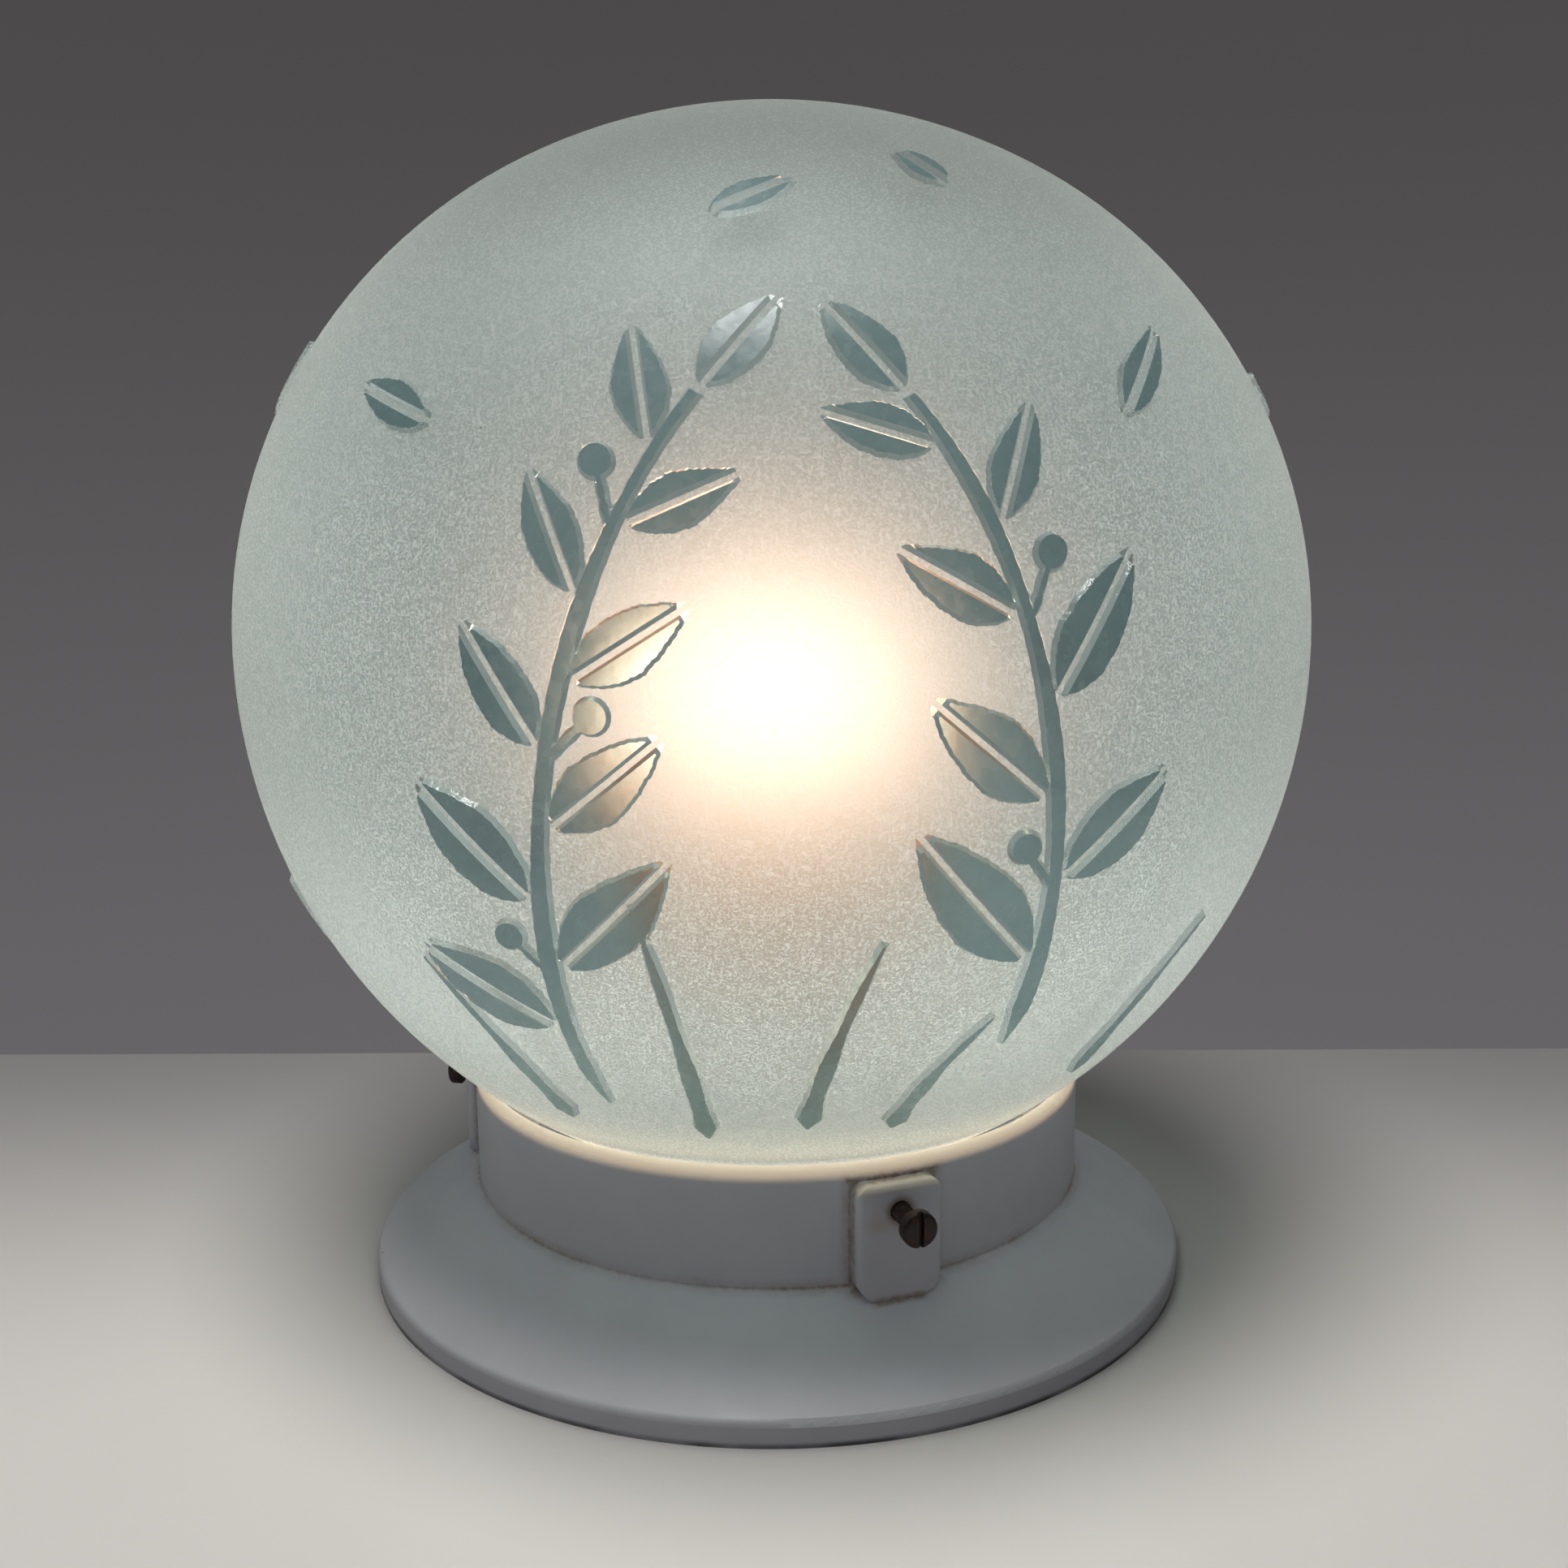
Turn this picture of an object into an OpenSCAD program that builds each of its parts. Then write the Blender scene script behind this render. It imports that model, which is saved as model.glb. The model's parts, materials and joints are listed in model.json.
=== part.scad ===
// Ceiling globe lamp: blown glass globe held by three screws in a moulded base.
// Drawn standing on the face that goes against the ceiling, with the globe above.
// The origin is in the middle of that face, +Z runs along the lamp's axis.

/* [Base] */
// Widest diameter of the flange against the ceiling
flange_d = 161; // [150:1:200]
// Height of the flange, from the ceiling face to the foot of the collar
flange_h = 18; // [15:0.5:24]
// Height of the upright rim round the flange
flange_rim_h = 4.6; // [3:0.1:8]
// Rounding of the flange's edge
flange_edge_r = 1.6; // [0.8:0.1:2.5]
// Outside diameter of the collar
collar_d = 120; // [114:1:150]
// Height of the collar above the flange
collar_h = 22.2; // [21.5:0.1:40]
// Wall of the moulding
base_wall = 2.4; // [1.8:0.1:3]
// Thickness of the floor that carries the lampholder
floor_t = 2.6; // [2:0.1:4]
// Diameter of the wire hole in the middle of the floor
wire_hole_d = 40; // [30:1:44]
// Width of the two slots for the ceiling screws
ceiling_slot_w = 5.2; // [4:0.1:6.5]
// Length of each ceiling screw slot, end to end
ceiling_slot_l = 14; // [8:0.5:15]
// Distance between the middles of the two ceiling screw slots
ceiling_slot_pitch = 72; // [70:0.5:74]

/* [Screw bosses] */
// Width of each boss on the collar
boss_w = 15.8; // [12:0.1:20]
// How far each boss stands out from the collar
boss_t = 3.3; // [2.5:0.1:5]
// Rounding of the boss's upper corners, seen from the front
boss_corner_r = 2.4; // [1:0.1:4]
// Rounding of the boss's lower corners, where it runs onto the flange
boss_foot_r = 4.6; // [2:0.1:6]
// Rounding of the boss's front edges
boss_edge_r = 1.1; // [0.5:0.1:1.5]
// Height of the boss above the screw's axis
boss_above_screw = 5; // [4:0.1:5.5]
// Direction of the front boss, from straight ahead towards the right
boss_turn = 20.5; // [0:0.5:60]

/* [Fixing screws] */
// Diameter of the screw's shank
screw_d = 3.5; // [3:0.1:4]
// Diameter of the screw's head
screw_head_d = 6.4; // [5.5:0.1:8]
// Height of the screw's head
screw_head_h = 2.6; // [2:0.1:3.5]
// Width of the slot in the head
screw_slot_w = 0.9; // [0.6:0.1:1.2]
// Depth of the slot in the head
screw_slot_h = 1.2; // [0.8:0.1:1.6]
// How far the screws stand off their bosses, one value for each screw
screw_out = [3.9, 6.2, 3.2]; // [0.3:0.1:9]
// How far a screw reaches behind the globe's lip when it is driven home
screw_reach = 1.7; // [1:0.1:2.2]
// Height of the screw's axis above the globe's lip
screw_above_lip = 6.7; // [5:0.1:6.8]
// Outside diameter of the threaded insert in each boss
insert_d = 6; // [5.5:0.1:7]

/* [Globe] */
// Widest diameter of the globe
globe_d = 200; // [180:1:250]
// Thickness of the glass
glass_t = 3; // [2:0.1:4]
// How much lower the crown is than a true sphere
crown_drop = 3; // [1:0.1:3.5]
// How far the shoulder's arc is centred out from the axis
shoulder_out = 4; // [3.8:0.1:6]
// How far the belly's arc is centred beyond the axis
belly_out = 4; // [0:0.1:6]
// Free ring between the globe's lip and the inside of the collar
lip_gap = 6.8; // [6:0.1:8]
// Height of the rolled lip
lip_h = 4.5; // [3.5:0.1:6]
// How far the lip stands out from the neck
lip_out = 2.7; // [2.4:0.1:4]
// Radius where the neck runs into the belly
neck_blend_r = 4; // [2:0.5:6]

/* [Lampholder] */
// Diameter of the porcelain foot
holder_foot_d = 56; // [55:1:60]
// Height of the porcelain foot
holder_foot_h = 7; // [6:0.1:9]
// Diameter of the porcelain barrel
holder_barrel_d = 39; // [36:0.5:39.5]
// Height of the whole lampholder
holder_h = 36.4; // [34:0.1:38]
// Depth of the terminal recess under the porcelain
holder_recess_h = 5.4; // [5:0.1:6]
// Thickness of the porcelain web between the recess and the screw shell
holder_web_h = 5.4; // [5:0.1:6]
// Distance between the lampholder's fixing screws
holder_screw_pitch = 47; // [46.5:0.1:48]
// Diameter of the lampholder's fixing screws
holder_screw_d = 4; // [3.5:0.1:4.2]

/* [Bulb] */
// Diameter of the bulb
bulb_d = 60; // [55:1:70]
// Length of the bulb, from contact to tip
bulb_len = 106; // [100:1:120]
// Outside diameter of the screw cap
cap_d = 26.1; // [26:0.1:26.4]
// Length of the screw cap, from contact to glass
cap_len = 27; // [26:0.5:28]

/* [Hidden] */
$fn = 96;

// Clearances: between pieces that lift apart, a running thread, a set-in piece, a screw in its hole
seat_gap = 0.3;
thread_gap = 0.05;
set_gap = 0.05;
hole_gap = 0.2;
// Gap between the globe's belly and the collar's rim
rim_gap = 0.5;
// Overlap of cutting shapes past the faces that they cut
cut = 1;

// Base
flange_r = flange_d / 2;
collar_r = collar_d / 2;
bore_r = collar_r - base_wall;
base_h = flange_h + collar_h;
floor_z = flange_h + floor_t;
rim_r = base_wall / 2;
rim_z = base_h - rim_r;
rim_mid_r = collar_r - rim_r;
slope_len = norm([flange_r - collar_r, flange_h - flange_rim_h]);
slope_n = [(flange_h - flange_rim_h) / slope_len, (flange_r - collar_r) / slope_len];
edge_c = [flange_r - flange_edge_r, flange_rim_h - flange_edge_r * (1 - slope_n[0]) / slope_n[1]];
edge_top = edge_c + flange_edge_r * slope_n;

// Globe
globe_r = globe_d / 2;
shoulder_r = globe_r - shoulder_out;
crown_rise = shoulder_out - crown_drop;
crown_down = (shoulder_out * shoulder_out - crown_rise * crown_rise) / (2 * crown_rise);
crown_r = globe_r - crown_drop + crown_down;
crown_turn = atan2(shoulder_out, crown_down);
belly_r = globe_r + belly_out;
lip_r = bore_r - lip_gap;
neck_r = lip_r - lip_out;
lip_z = floor_z + seat_gap;
lip_top = lip_z + lip_h;
belly_reach = belly_r + rim_r + rim_gap;
globe_z = rim_z + sqrt(belly_reach * belly_reach - pow(rim_mid_r + belly_out, 2));
blend_x = neck_r + neck_blend_r;
blend_z = globe_z - sqrt(pow(belly_r + neck_blend_r, 2) - pow(blend_x + belly_out, 2));
blend_way = [-belly_out - blend_x, globe_z - blend_z] / (belly_r + neck_blend_r);

// Screw bosses and fixing screws
screw_z = lip_top + screw_above_lip;
boss_face = collar_r + boss_t;
boss_top = screw_z + boss_above_screw;
boss_foot = flange_h - boss_t * slope_n[0] / slope_n[1];
boss_back = bore_r + base_wall / 2;
boss_angles = [boss_turn + 30, boss_turn - 90, boss_turn + 150];
screw_len = boss_face + seat_gap - lip_r + screw_reach;
insert_in = bore_r + seat_gap;
insert_out = boss_face - boss_edge_r;

// Lampholder
holder_top = floor_z + holder_h;
foot_top = floor_z + holder_foot_h;
web_z = floor_z + holder_recess_h;
web_top = web_z + holder_web_h;
holder_edge_r = 1.5;
recess_in = 1;
recess_r = wire_hole_d / 2 - recess_in;
shell_wall = 0.7;
shell_play = 0.4;
shell_r = cap_d / 2 + shell_play;
shell_hole_r = 8;
shell_down = 1.5;
cavity_r = shell_r + shell_wall + shell_play;
contact_t = 0.5;
contact_w = 5;
contact_rise = 1.6;
contact_back = 7.2;
contact_front = 2.6;
rivet_d = 2.4;
rivet_head_d = 4.4;
rivet_head_h = 0.9;
contact_rivet_y = -5;
shell_rivet_y = 11;
terminal_t = 0.8;
terminal_w = 7;
terminal_screw_d = 3.2;
terminal_head_d = 5.6;
terminal_head_h = 2;
terminal_screw_len = 3.4;
live_screw_y = -12;
neutral_screw_x = -6.5;
holder_head_d = 7;
holder_head_h = 2.6;
nut_af = 7;
nut_h = 3.2;
nut_tail = 1;

// Bulb
contact_top = web_top + contact_t + contact_rise;
bulb_z = contact_top + seat_gap;
cap_top = bulb_z + cap_len;
button_d = 9.4;
button_h = 1.3;
insulator_h = 4.8;
insulator_r = 11.6;
insulator_foot_r = 5.2;
cap_wall = 0.6;
insulator_rise = 2.8;
cap_foot_z = bulb_z + button_h + insulator_rise;
cap_foot_h = 1.6;
bulb_r = bulb_d / 2;
bulb_mid = bulb_z + bulb_len - bulb_r;
bulb_glass_t = 0.8;
bulb_neck_r = 16;
bulb_neck_h = 3.5;
bulb_neck_z = cap_top + bulb_neck_h;
bulb_seat_r = cap_d / 2 - cap_wall - set_gap;
bulb_seat_h = 2.4;
stem_r = 3.6;
stem_foot_h = 0.8;
stem_flare_h = 6.4;
stem_below_mid = 25;
stem_top = bulb_mid - stem_below_mid;
stem_rod_r = 1.3;
stem_rod_h = 10;
lead_r = 0.4;
lead_foot = 2.2;
filament_below_mid = 2;
filament_z = bulb_mid - filament_below_mid;
filament_turn_r = 14;
filament_r = 0.6;
support_r = 0.3;
support_angles = [45, 90, 135];

// Places a shape at one boss, with its +Z pointing outward along the screw's axis
module at_boss(angle) {
    rotate([0, 0, angle])
        translate([0, 0, screw_z])
            rotate([0, 90, 0])
                children();
}

// Half section of the solid moulding before it is hollowed out
module base_outside() {
    polygon([
        [0, 0], [flange_r, 0], [flange_r, edge_c[1]], edge_top,
        [collar_r, flange_h], [collar_r, rim_z], [0, rim_z]
    ]);
    translate(edge_c)
        circle(r = flange_edge_r);
}

// Half section of the hollow under the flange, parallel to the outer faces
module base_hollow() {
    polygon([
        [0, -cut], [flange_r - base_wall, -cut], [flange_r - base_wall, under_slope(flange_r - base_wall)],
        [under_slope_r(flange_h), flange_h], [0, flange_h]
    ]);
}

// Height of the hollow's sloping face at a radius, and its radius at a height
function under_slope(r) = flange_h - (base_wall + (r - collar_r) * slope_n[0]) / slope_n[1];
function under_slope_r(z) = collar_r - (base_wall + (z - flange_h) * slope_n[1]) / slope_n[0];

// Rectangle from corner a to corner b, with all four corners rounded
module round_rect(a, b, r) {
    translate(a + [r, 0])
        square([b[0] - a[0] - 2 * r, b[1] - a[1]]);
    translate(a + [0, r])
        square([b[0] - a[0], b[1] - a[1] - 2 * r]);
    for (x = [a[0] + r, b[0] - r], y = [a[1] + r, b[1] - r])
        translate([x, y])
            circle(r = r);
}

// Front outline of a boss, with its own rounding at the top and at the foot
module boss_outline() {
    intersection() {
        round_rect([-boss_w / 2, 0], [boss_w / 2, boss_top], boss_corner_r);
        round_rect([-boss_w / 2, boss_foot], [boss_w / 2, base_h + boss_foot_r], boss_foot_r);
    }
}

// One boss: its front outline, crossed with its side and its plan, which round the front edges
module boss(angle) {
    rotate([0, 0, angle])
        intersection() {
            rotate([90, 0, 90])
                translate([0, 0, boss_back])
                    linear_extrude(boss_face - boss_back)
                        boss_outline();
            rotate([90, 0, 0])
                linear_extrude(2 * boss_w, center = true)
                    round_rect([0, 0], [boss_face, boss_top], boss_edge_r);
            linear_extrude(base_h)
                round_rect([0, -boss_w / 2], [boss_face, boss_w / 2], boss_edge_r);
        }
}

// Slot for a ceiling screw, running out from the lamp's axis
module ceiling_slot() {
    straight = ceiling_slot_l - ceiling_slot_w;
    square([ceiling_slot_w, straight], center = true);
    for (end = [-1, 1])
        translate([0, end * straight / 2])
            circle(d = ceiling_slot_w);
}

// Moulded base: flange, collar, floor and bosses in one piece
module base() {
    color("whitesmoke")
        difference() {
            union() {
                rotate_extrude() {
                    difference() {
                        base_outside();
                        base_hollow();
                        translate([0, floor_z])
                            square([bore_r, base_h]);
                    }
                    translate([rim_mid_r, rim_z])
                        circle(r = rim_r);
                }
                for (angle = boss_angles)
                    boss(angle);
            }
            for (angle = boss_angles)
                at_boss(angle) {
                    translate([0, 0, bore_r - base_wall])
                        cylinder(d = screw_d + 2 * hole_gap, h = boss_t + 3 * base_wall);
                    translate([0, 0, bore_r - base_wall])
                        cylinder(d = insert_d + 2 * set_gap, h = insert_out - bore_r + base_wall + set_gap);
                }
            translate([0, 0, flange_h - cut])
                cylinder(d = wire_hole_d, h = floor_t + 2 * cut);
            for (side = [-1, 1]) {
                translate([0, side * ceiling_slot_pitch / 2, flange_h - cut])
                    linear_extrude(floor_t + 2 * cut)
                        ceiling_slot();
                translate([side * holder_screw_pitch / 2, 0, flange_h - cut])
                    cylinder(d = holder_screw_d + 2 * hole_gap, h = floor_t + 2 * cut);
            }
        }
}

// Threaded inserts set into the bosses from inside the collar
module boss_inserts() {
    color("goldenrod")
        for (angle = boss_angles)
            at_boss(angle)
                difference() {
                    translate([0, 0, insert_in])
                        cylinder(d = insert_d, h = insert_out - insert_in);
                    translate([0, 0, insert_in - cut])
                        cylinder(d = screw_d + 2 * thread_gap, h = insert_out - insert_in + 2 * cut);
                }
}

// Slotted cheese-head screw, standing off its boss
module fixing_screw(i) {
    head_z = boss_face + screw_out[i];
    color("saddlebrown")
        at_boss(boss_angles[i])
            difference() {
                union() {
                    translate([0, 0, head_z - screw_len])
                        cylinder(d = screw_d, h = screw_len);
                    translate([0, 0, head_z])
                        cylinder(d = screw_head_d, h = screw_head_h);
                }
                translate([-screw_head_d, -screw_slot_w / 2, head_z + screw_head_h - screw_slot_h])
                    cube([2 * screw_head_d, screw_slot_w, screw_slot_h + cut]);
            }
}

module fixing_screw_right() fixing_screw(0);
module fixing_screw_front() fixing_screw(1);
module fixing_screw_left() fixing_screw(2);

// Half section of the globe filled in, with every face drawn in by t
module globe_filled(t) {
    difference() {
        intersection() {
            translate([shoulder_out, globe_z])
                circle(r = shoulder_r - t);
            translate([0, globe_z])
                square([globe_r, globe_r]);
        }
        crown_wedge();
    }
    intersection() {
        translate([0, globe_z - crown_down])
            circle(r = crown_r - t);
        crown_wedge();
    }
    intersection() {
        translate([-belly_out, globe_z])
            circle(r = belly_r - t);
        translate([0, blend_z])
            square([globe_r, globe_z - blend_z]);
    }
    blend_top = [blend_x, blend_z] + (neck_blend_r + t) * blend_way;
    difference() {
        polygon([
            [0, lip_z - t], [neck_r - t, lip_z - t], [neck_r - t, blend_z],
            [blend_x, blend_z], blend_top, [0, blend_top[1]]
        ]);
        translate([blend_x, blend_z])
            circle(r = neck_blend_r + t);
    }
}

// Part of the half section where the flatter crown takes over from the shoulder
module crown_wedge() {
    reach = 2 * globe_r;
    translate([0, globe_z - crown_down])
        polygon([[0, 0], [reach * sin(crown_turn), reach * cos(crown_turn)], [0, reach]]);
}

// Blown globe with its open neck and rolled lip
module globe() {
    color("powderblue")
        rotate_extrude()
            difference() {
                union() {
                    globe_filled(0);
                    translate([0, lip_z])
                        square([lip_r - lip_h / 2, lip_h]);
                    translate([lip_r - lip_h / 2, lip_z + lip_h / 2])
                        circle(d = lip_h);
                }
                globe_filled(glass_t);
            }
}

// Porcelain lampholder with its foot, barrel, terminal recess and wire holes
module lampholder_body() {
    color("ivory")
        difference() {
            rotate_extrude()
                difference() {
                    union() {
                        holder_step(holder_foot_d / 2, floor_z, foot_top);
                        holder_step(holder_barrel_d / 2, floor_z, holder_top);
                    }
                    translate([0, floor_z - cut])
                        square([recess_r, holder_recess_h + cut]);
                    translate([0, web_top])
                        square([cavity_r, holder_h]);
                }
            for (side = [-1, 1])
                translate([side * holder_screw_pitch / 2, 0, floor_z - cut])
                    cylinder(d = holder_screw_d + 2 * hole_gap, h = holder_foot_h + 2 * cut);
            for (y = [contact_rivet_y, shell_rivet_y])
                translate([0, y, web_z - cut])
                    cylinder(d = rivet_d + 2 * hole_gap, h = holder_web_h + 2 * cut);
            for (place = [[0, live_screw_y], [neutral_screw_x, shell_rivet_y]])
                translate([place[0], place[1], web_z - cut])
                    cylinder(d = terminal_screw_d + 2 * hole_gap, h = terminal_screw_len + cut);
        }
}

// Half section of one step of the porcelain, with its upper edge rounded
module holder_step(r, z0, z1) {
    translate([0, z0])
        square([r, z1 - z0 - holder_edge_r]);
    translate([0, z0])
        square([r - holder_edge_r, z1 - z0]);
    translate([r - holder_edge_r, z1 - holder_edge_r])
        circle(r = holder_edge_r);
}

// Two screws that hold the lampholder to the floor
module lampholder_screws() {
    tail = floor_t + holder_foot_h + nut_h + nut_tail;
    color("silver")
        for (side = [-1, 1])
            translate([side * holder_screw_pitch / 2, 0, foot_top])
                difference() {
                    union() {
                        translate([0, 0, -tail])
                            cylinder(d = holder_screw_d, h = tail);
                        cylinder(d = holder_head_d, h = holder_head_h);
                    }
                    translate([-holder_head_d, -screw_slot_w / 2, holder_head_h - screw_slot_h])
                        cube([2 * holder_head_d, screw_slot_w, screw_slot_h + cut]);
                }
}

// Their nuts under the floor
module lampholder_nuts() {
    color("silver")
        for (side = [-1, 1])
            translate([side * holder_screw_pitch / 2, 0, flange_h - nut_h])
                difference() {
                    cylinder(d = nut_af / cos(30), h = nut_h, $fn = 6);
                    translate([0, 0, -cut])
                        cylinder(d = holder_screw_d + 2 * thread_gap, h = nut_h + 2 * cut);
                }
}

// Brass shell that takes the bulb's screw cap
module screw_shell() {
    outer = shell_r + shell_wall;
    color("gold")
        difference() {
            translate([0, 0, web_top])
                cylinder(r = outer, h = holder_top - shell_down - web_top);
            translate([0, 0, web_top + shell_wall])
                cylinder(r = shell_r, h = holder_h);
            translate([0, 0, web_top - cut])
                cylinder(r = shell_hole_r, h = holder_h);
            translate([0, shell_rivet_y, web_top - cut])
                cylinder(d = rivet_d + 2 * thread_gap, h = shell_wall + 2 * cut);
        }
}

// Tube rivet with its two heads, through a stack from z0 to z1
module rivet(y, z0, z1) {
    color("darkgoldenrod")
        translate([0, y, 0]) {
            translate([0, 0, z0 - rivet_head_h])
                cylinder(d = rivet_d, h = z1 - z0 + 2 * rivet_head_h);
            translate([0, 0, z0 - rivet_head_h])
                cylinder(d = rivet_head_d, h = rivet_head_h);
            translate([0, 0, z1])
                cylinder(d = rivet_head_d, h = rivet_head_h);
        }
}

module shell_rivet() rivet(shell_rivet_y, web_z - terminal_t, web_top + shell_wall);
module contact_rivet() rivet(contact_rivet_y, web_z - terminal_t, web_top + contact_t);

// Sprung strip that presses on the bulb's centre contact
module centre_contact() {
    slope_y = contact_rivet_y + rivet_head_d / 2 + set_gap;
    color("peru")
        difference() {
            translate([-contact_w / 2, 0, web_top])
                rotate([90, 0, 90])
                    linear_extrude(contact_w)
                        polygon([
                            [-contact_back, 0], [slope_y, 0], [-contact_front / 2, contact_rise],
                            [contact_front, contact_rise], [contact_front, contact_rise + contact_t],
                            [-contact_front / 2, contact_rise + contact_t], [slope_y, contact_t],
                            [-contact_back, contact_t]
                        ]);
            translate([0, contact_rivet_y, web_top - cut])
                cylinder(d = rivet_d + 2 * thread_gap, h = contact_t + 2 * cut);
        }
}

// Flat terminal plate against the web, with one hole for its rivet and one for its screw
module terminal(a, b, rivet_at, screw_at) {
    color("khaki")
        translate([0, 0, web_z - terminal_t])
            difference() {
                translate([a[0], a[1], 0])
                    cube([b[0] - a[0], b[1] - a[1], terminal_t]);
                translate([rivet_at[0], rivet_at[1], -cut])
                    cylinder(d = rivet_d + 2 * thread_gap, h = terminal_t + 2 * cut);
                translate([screw_at[0], screw_at[1], -cut])
                    cylinder(d = terminal_screw_d + 2 * thread_gap, h = terminal_t + 2 * cut);
            }
}

module live_terminal()
    terminal(
        [-terminal_w / 2, live_screw_y - terminal_w / 2], [terminal_w / 2, contact_rivet_y + terminal_w / 2],
        [0, contact_rivet_y], [0, live_screw_y]
    );

module neutral_terminal()
    terminal(
        [neutral_screw_x - terminal_w / 2, shell_rivet_y - terminal_w / 2],
        [terminal_w / 2, shell_rivet_y + terminal_w / 2],
        [0, shell_rivet_y], [neutral_screw_x, shell_rivet_y]
    );

// Terminal screws, driven up from the recess
module terminal_screws() {
    color("lightgray")
        for (place = [[0, live_screw_y], [neutral_screw_x, shell_rivet_y]])
            translate([place[0], place[1], web_z - terminal_t - terminal_head_h])
                difference() {
                    union() {
                        cylinder(d = terminal_head_d, h = terminal_head_h);
                        cylinder(d = terminal_screw_d, h = terminal_head_h + terminal_screw_len);
                    }
                    translate([-terminal_head_d, -screw_slot_w / 2, -cut])
                        cube([2 * terminal_head_d, screw_slot_w, terminal_head_h / 2 + cut]);
                }
}

// Point where a straight side from the bulb's neck touches its round part, drawn in by t
function bulb_touch(t) =
    let (r = bulb_r - t, foot = [bulb_neck_r - t, bulb_neck_z - bulb_mid])
    let (turn = acos(r / norm(foot)) + atan2(foot[1], foot[0]))
    [r * cos(turn), bulb_mid + r * sin(turn)];

// Half section of the bulb filled in, with every face drawn in by t
module bulb_filled(t) {
    touch = bulb_touch(t);
    intersection() {
        translate([0, bulb_mid])
            circle(r = bulb_r - t);
        translate([0, touch[1]])
            square([bulb_r, 2 * bulb_r]);
    }
    polygon([
        [0, cap_top - bulb_seat_h - t], [bulb_seat_r - t, cap_top - bulb_seat_h - t],
        [bulb_seat_r - t, cap_top + seat_gap], [bulb_neck_r - t, bulb_neck_z], touch, [0, touch[1]]
    ]);
}

// Blown bulb, open at the neck where the stem closes it
module bulb_glass() {
    color("white")
        rotate_extrude()
            difference() {
                bulb_filled(0);
                bulb_filled(bulb_glass_t);
            }
}

// Metal screw cap
module bulb_cap() {
    r = cap_d / 2;
    color("gainsboro")
        rotate_extrude()
            polygon([
                [insulator_r + set_gap, cap_foot_z], [r - cap_foot_h / 2, cap_foot_z], [r, cap_foot_z + cap_foot_h],
                [r, cap_top], [r - cap_wall, cap_top], [r - cap_wall, cap_foot_z + cap_foot_h],
                [insulator_r + set_gap, cap_foot_z + cap_foot_h]
            ]);
}

// Glass insulator in the foot of the cap
module cap_insulator() {
    z0 = bulb_z + button_h;
    color("dimgray")
        rotate_extrude()
            polygon([
                [0, z0], [insulator_foot_r, z0], [insulator_r, cap_foot_z],
                [insulator_r, z0 + insulator_h], [0, z0 + insulator_h]
            ]);
}

// Solder button at the end of the cap
module cap_contact() {
    color("darkgray")
        rotate_extrude() {
            translate([0, bulb_z + button_h / 2])
                square([button_d / 2, button_h / 2]);
            translate([0, bulb_z])
                square([button_d / 2 - button_h / 2, button_h]);
            translate([button_d / 2 - button_h / 2, bulb_z + button_h / 2])
                circle(d = button_h);
        }
}

// Glass stem with its flare, tube and rod
module bulb_stem() {
    z0 = cap_top - bulb_seat_h;
    color("azure")
        rotate_extrude()
            polygon([
                [0, z0], [bulb_seat_r - bulb_glass_t - set_gap, z0],
                [bulb_seat_r - bulb_glass_t - set_gap, z0 + stem_foot_h], [stem_r, z0 + stem_flare_h],
                [stem_r, stem_top], [stem_rod_r, stem_top], [stem_rod_r, stem_top + stem_rod_h],
                [0, stem_top + stem_rod_h]
            ]);
}

// A straight wire from point a to point b
module wire(a, b, r) {
    way = b - a;
    translate(a)
        rotate([0, acos(way[2] / norm(way)), atan2(way[1], way[0])])
            cylinder(r = r, h = norm(way), $fn = 24);
}

// Two lead wires that carry the filament's ends
module lead_wires() {
    color("slategray")
        for (side = [-1, 1])
            wire(
                [side * lead_foot, 0, stem_top + lead_r],
                [side * filament_turn_r, 0, filament_z - filament_r - lead_r], lead_r
            );
}

// Fine wires that reach out from the rod to the filament
module filament_supports() {
    start = stem_rod_r + support_r;
    stop = filament_turn_r - filament_r;
    color("gray")
        for (angle = support_angles)
            rotate([0, 0, angle])
                wire(
                    [start, 0, stem_top + stem_rod_h - support_r],
                    [stop, 0, filament_z - filament_r], support_r
                );
}

// Coiled filament, drawn as the round bar that its coil fills
module filament() {
    color("orange")
        translate([0, 0, filament_z])
            rotate_extrude(angle = 180)
                translate([filament_turn_r, 0])
                    circle(r = filament_r, $fn = 24);
}

base();
boss_inserts();
fixing_screw_right();
fixing_screw_front();
fixing_screw_left();
globe();
lampholder_body();
lampholder_screws();
lampholder_nuts();
screw_shell();
shell_rivet();
centre_contact();
contact_rivet();
live_terminal();
neutral_terminal();
terminal_screws();
bulb_glass();
bulb_cap();
cap_insulator();
cap_contact();
bulb_stem();
lead_wires();
filament_supports();
filament();
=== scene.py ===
"""Looks of the ceiling globe lamp: relief glass, threads, wear and finishes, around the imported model."""
import json
import math
import random

import bpy
from mathutils import Matrix, Vector
from mathutils.geometry import delaunay_2d_cdt
from mathutils.kdtree import KDTree


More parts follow.
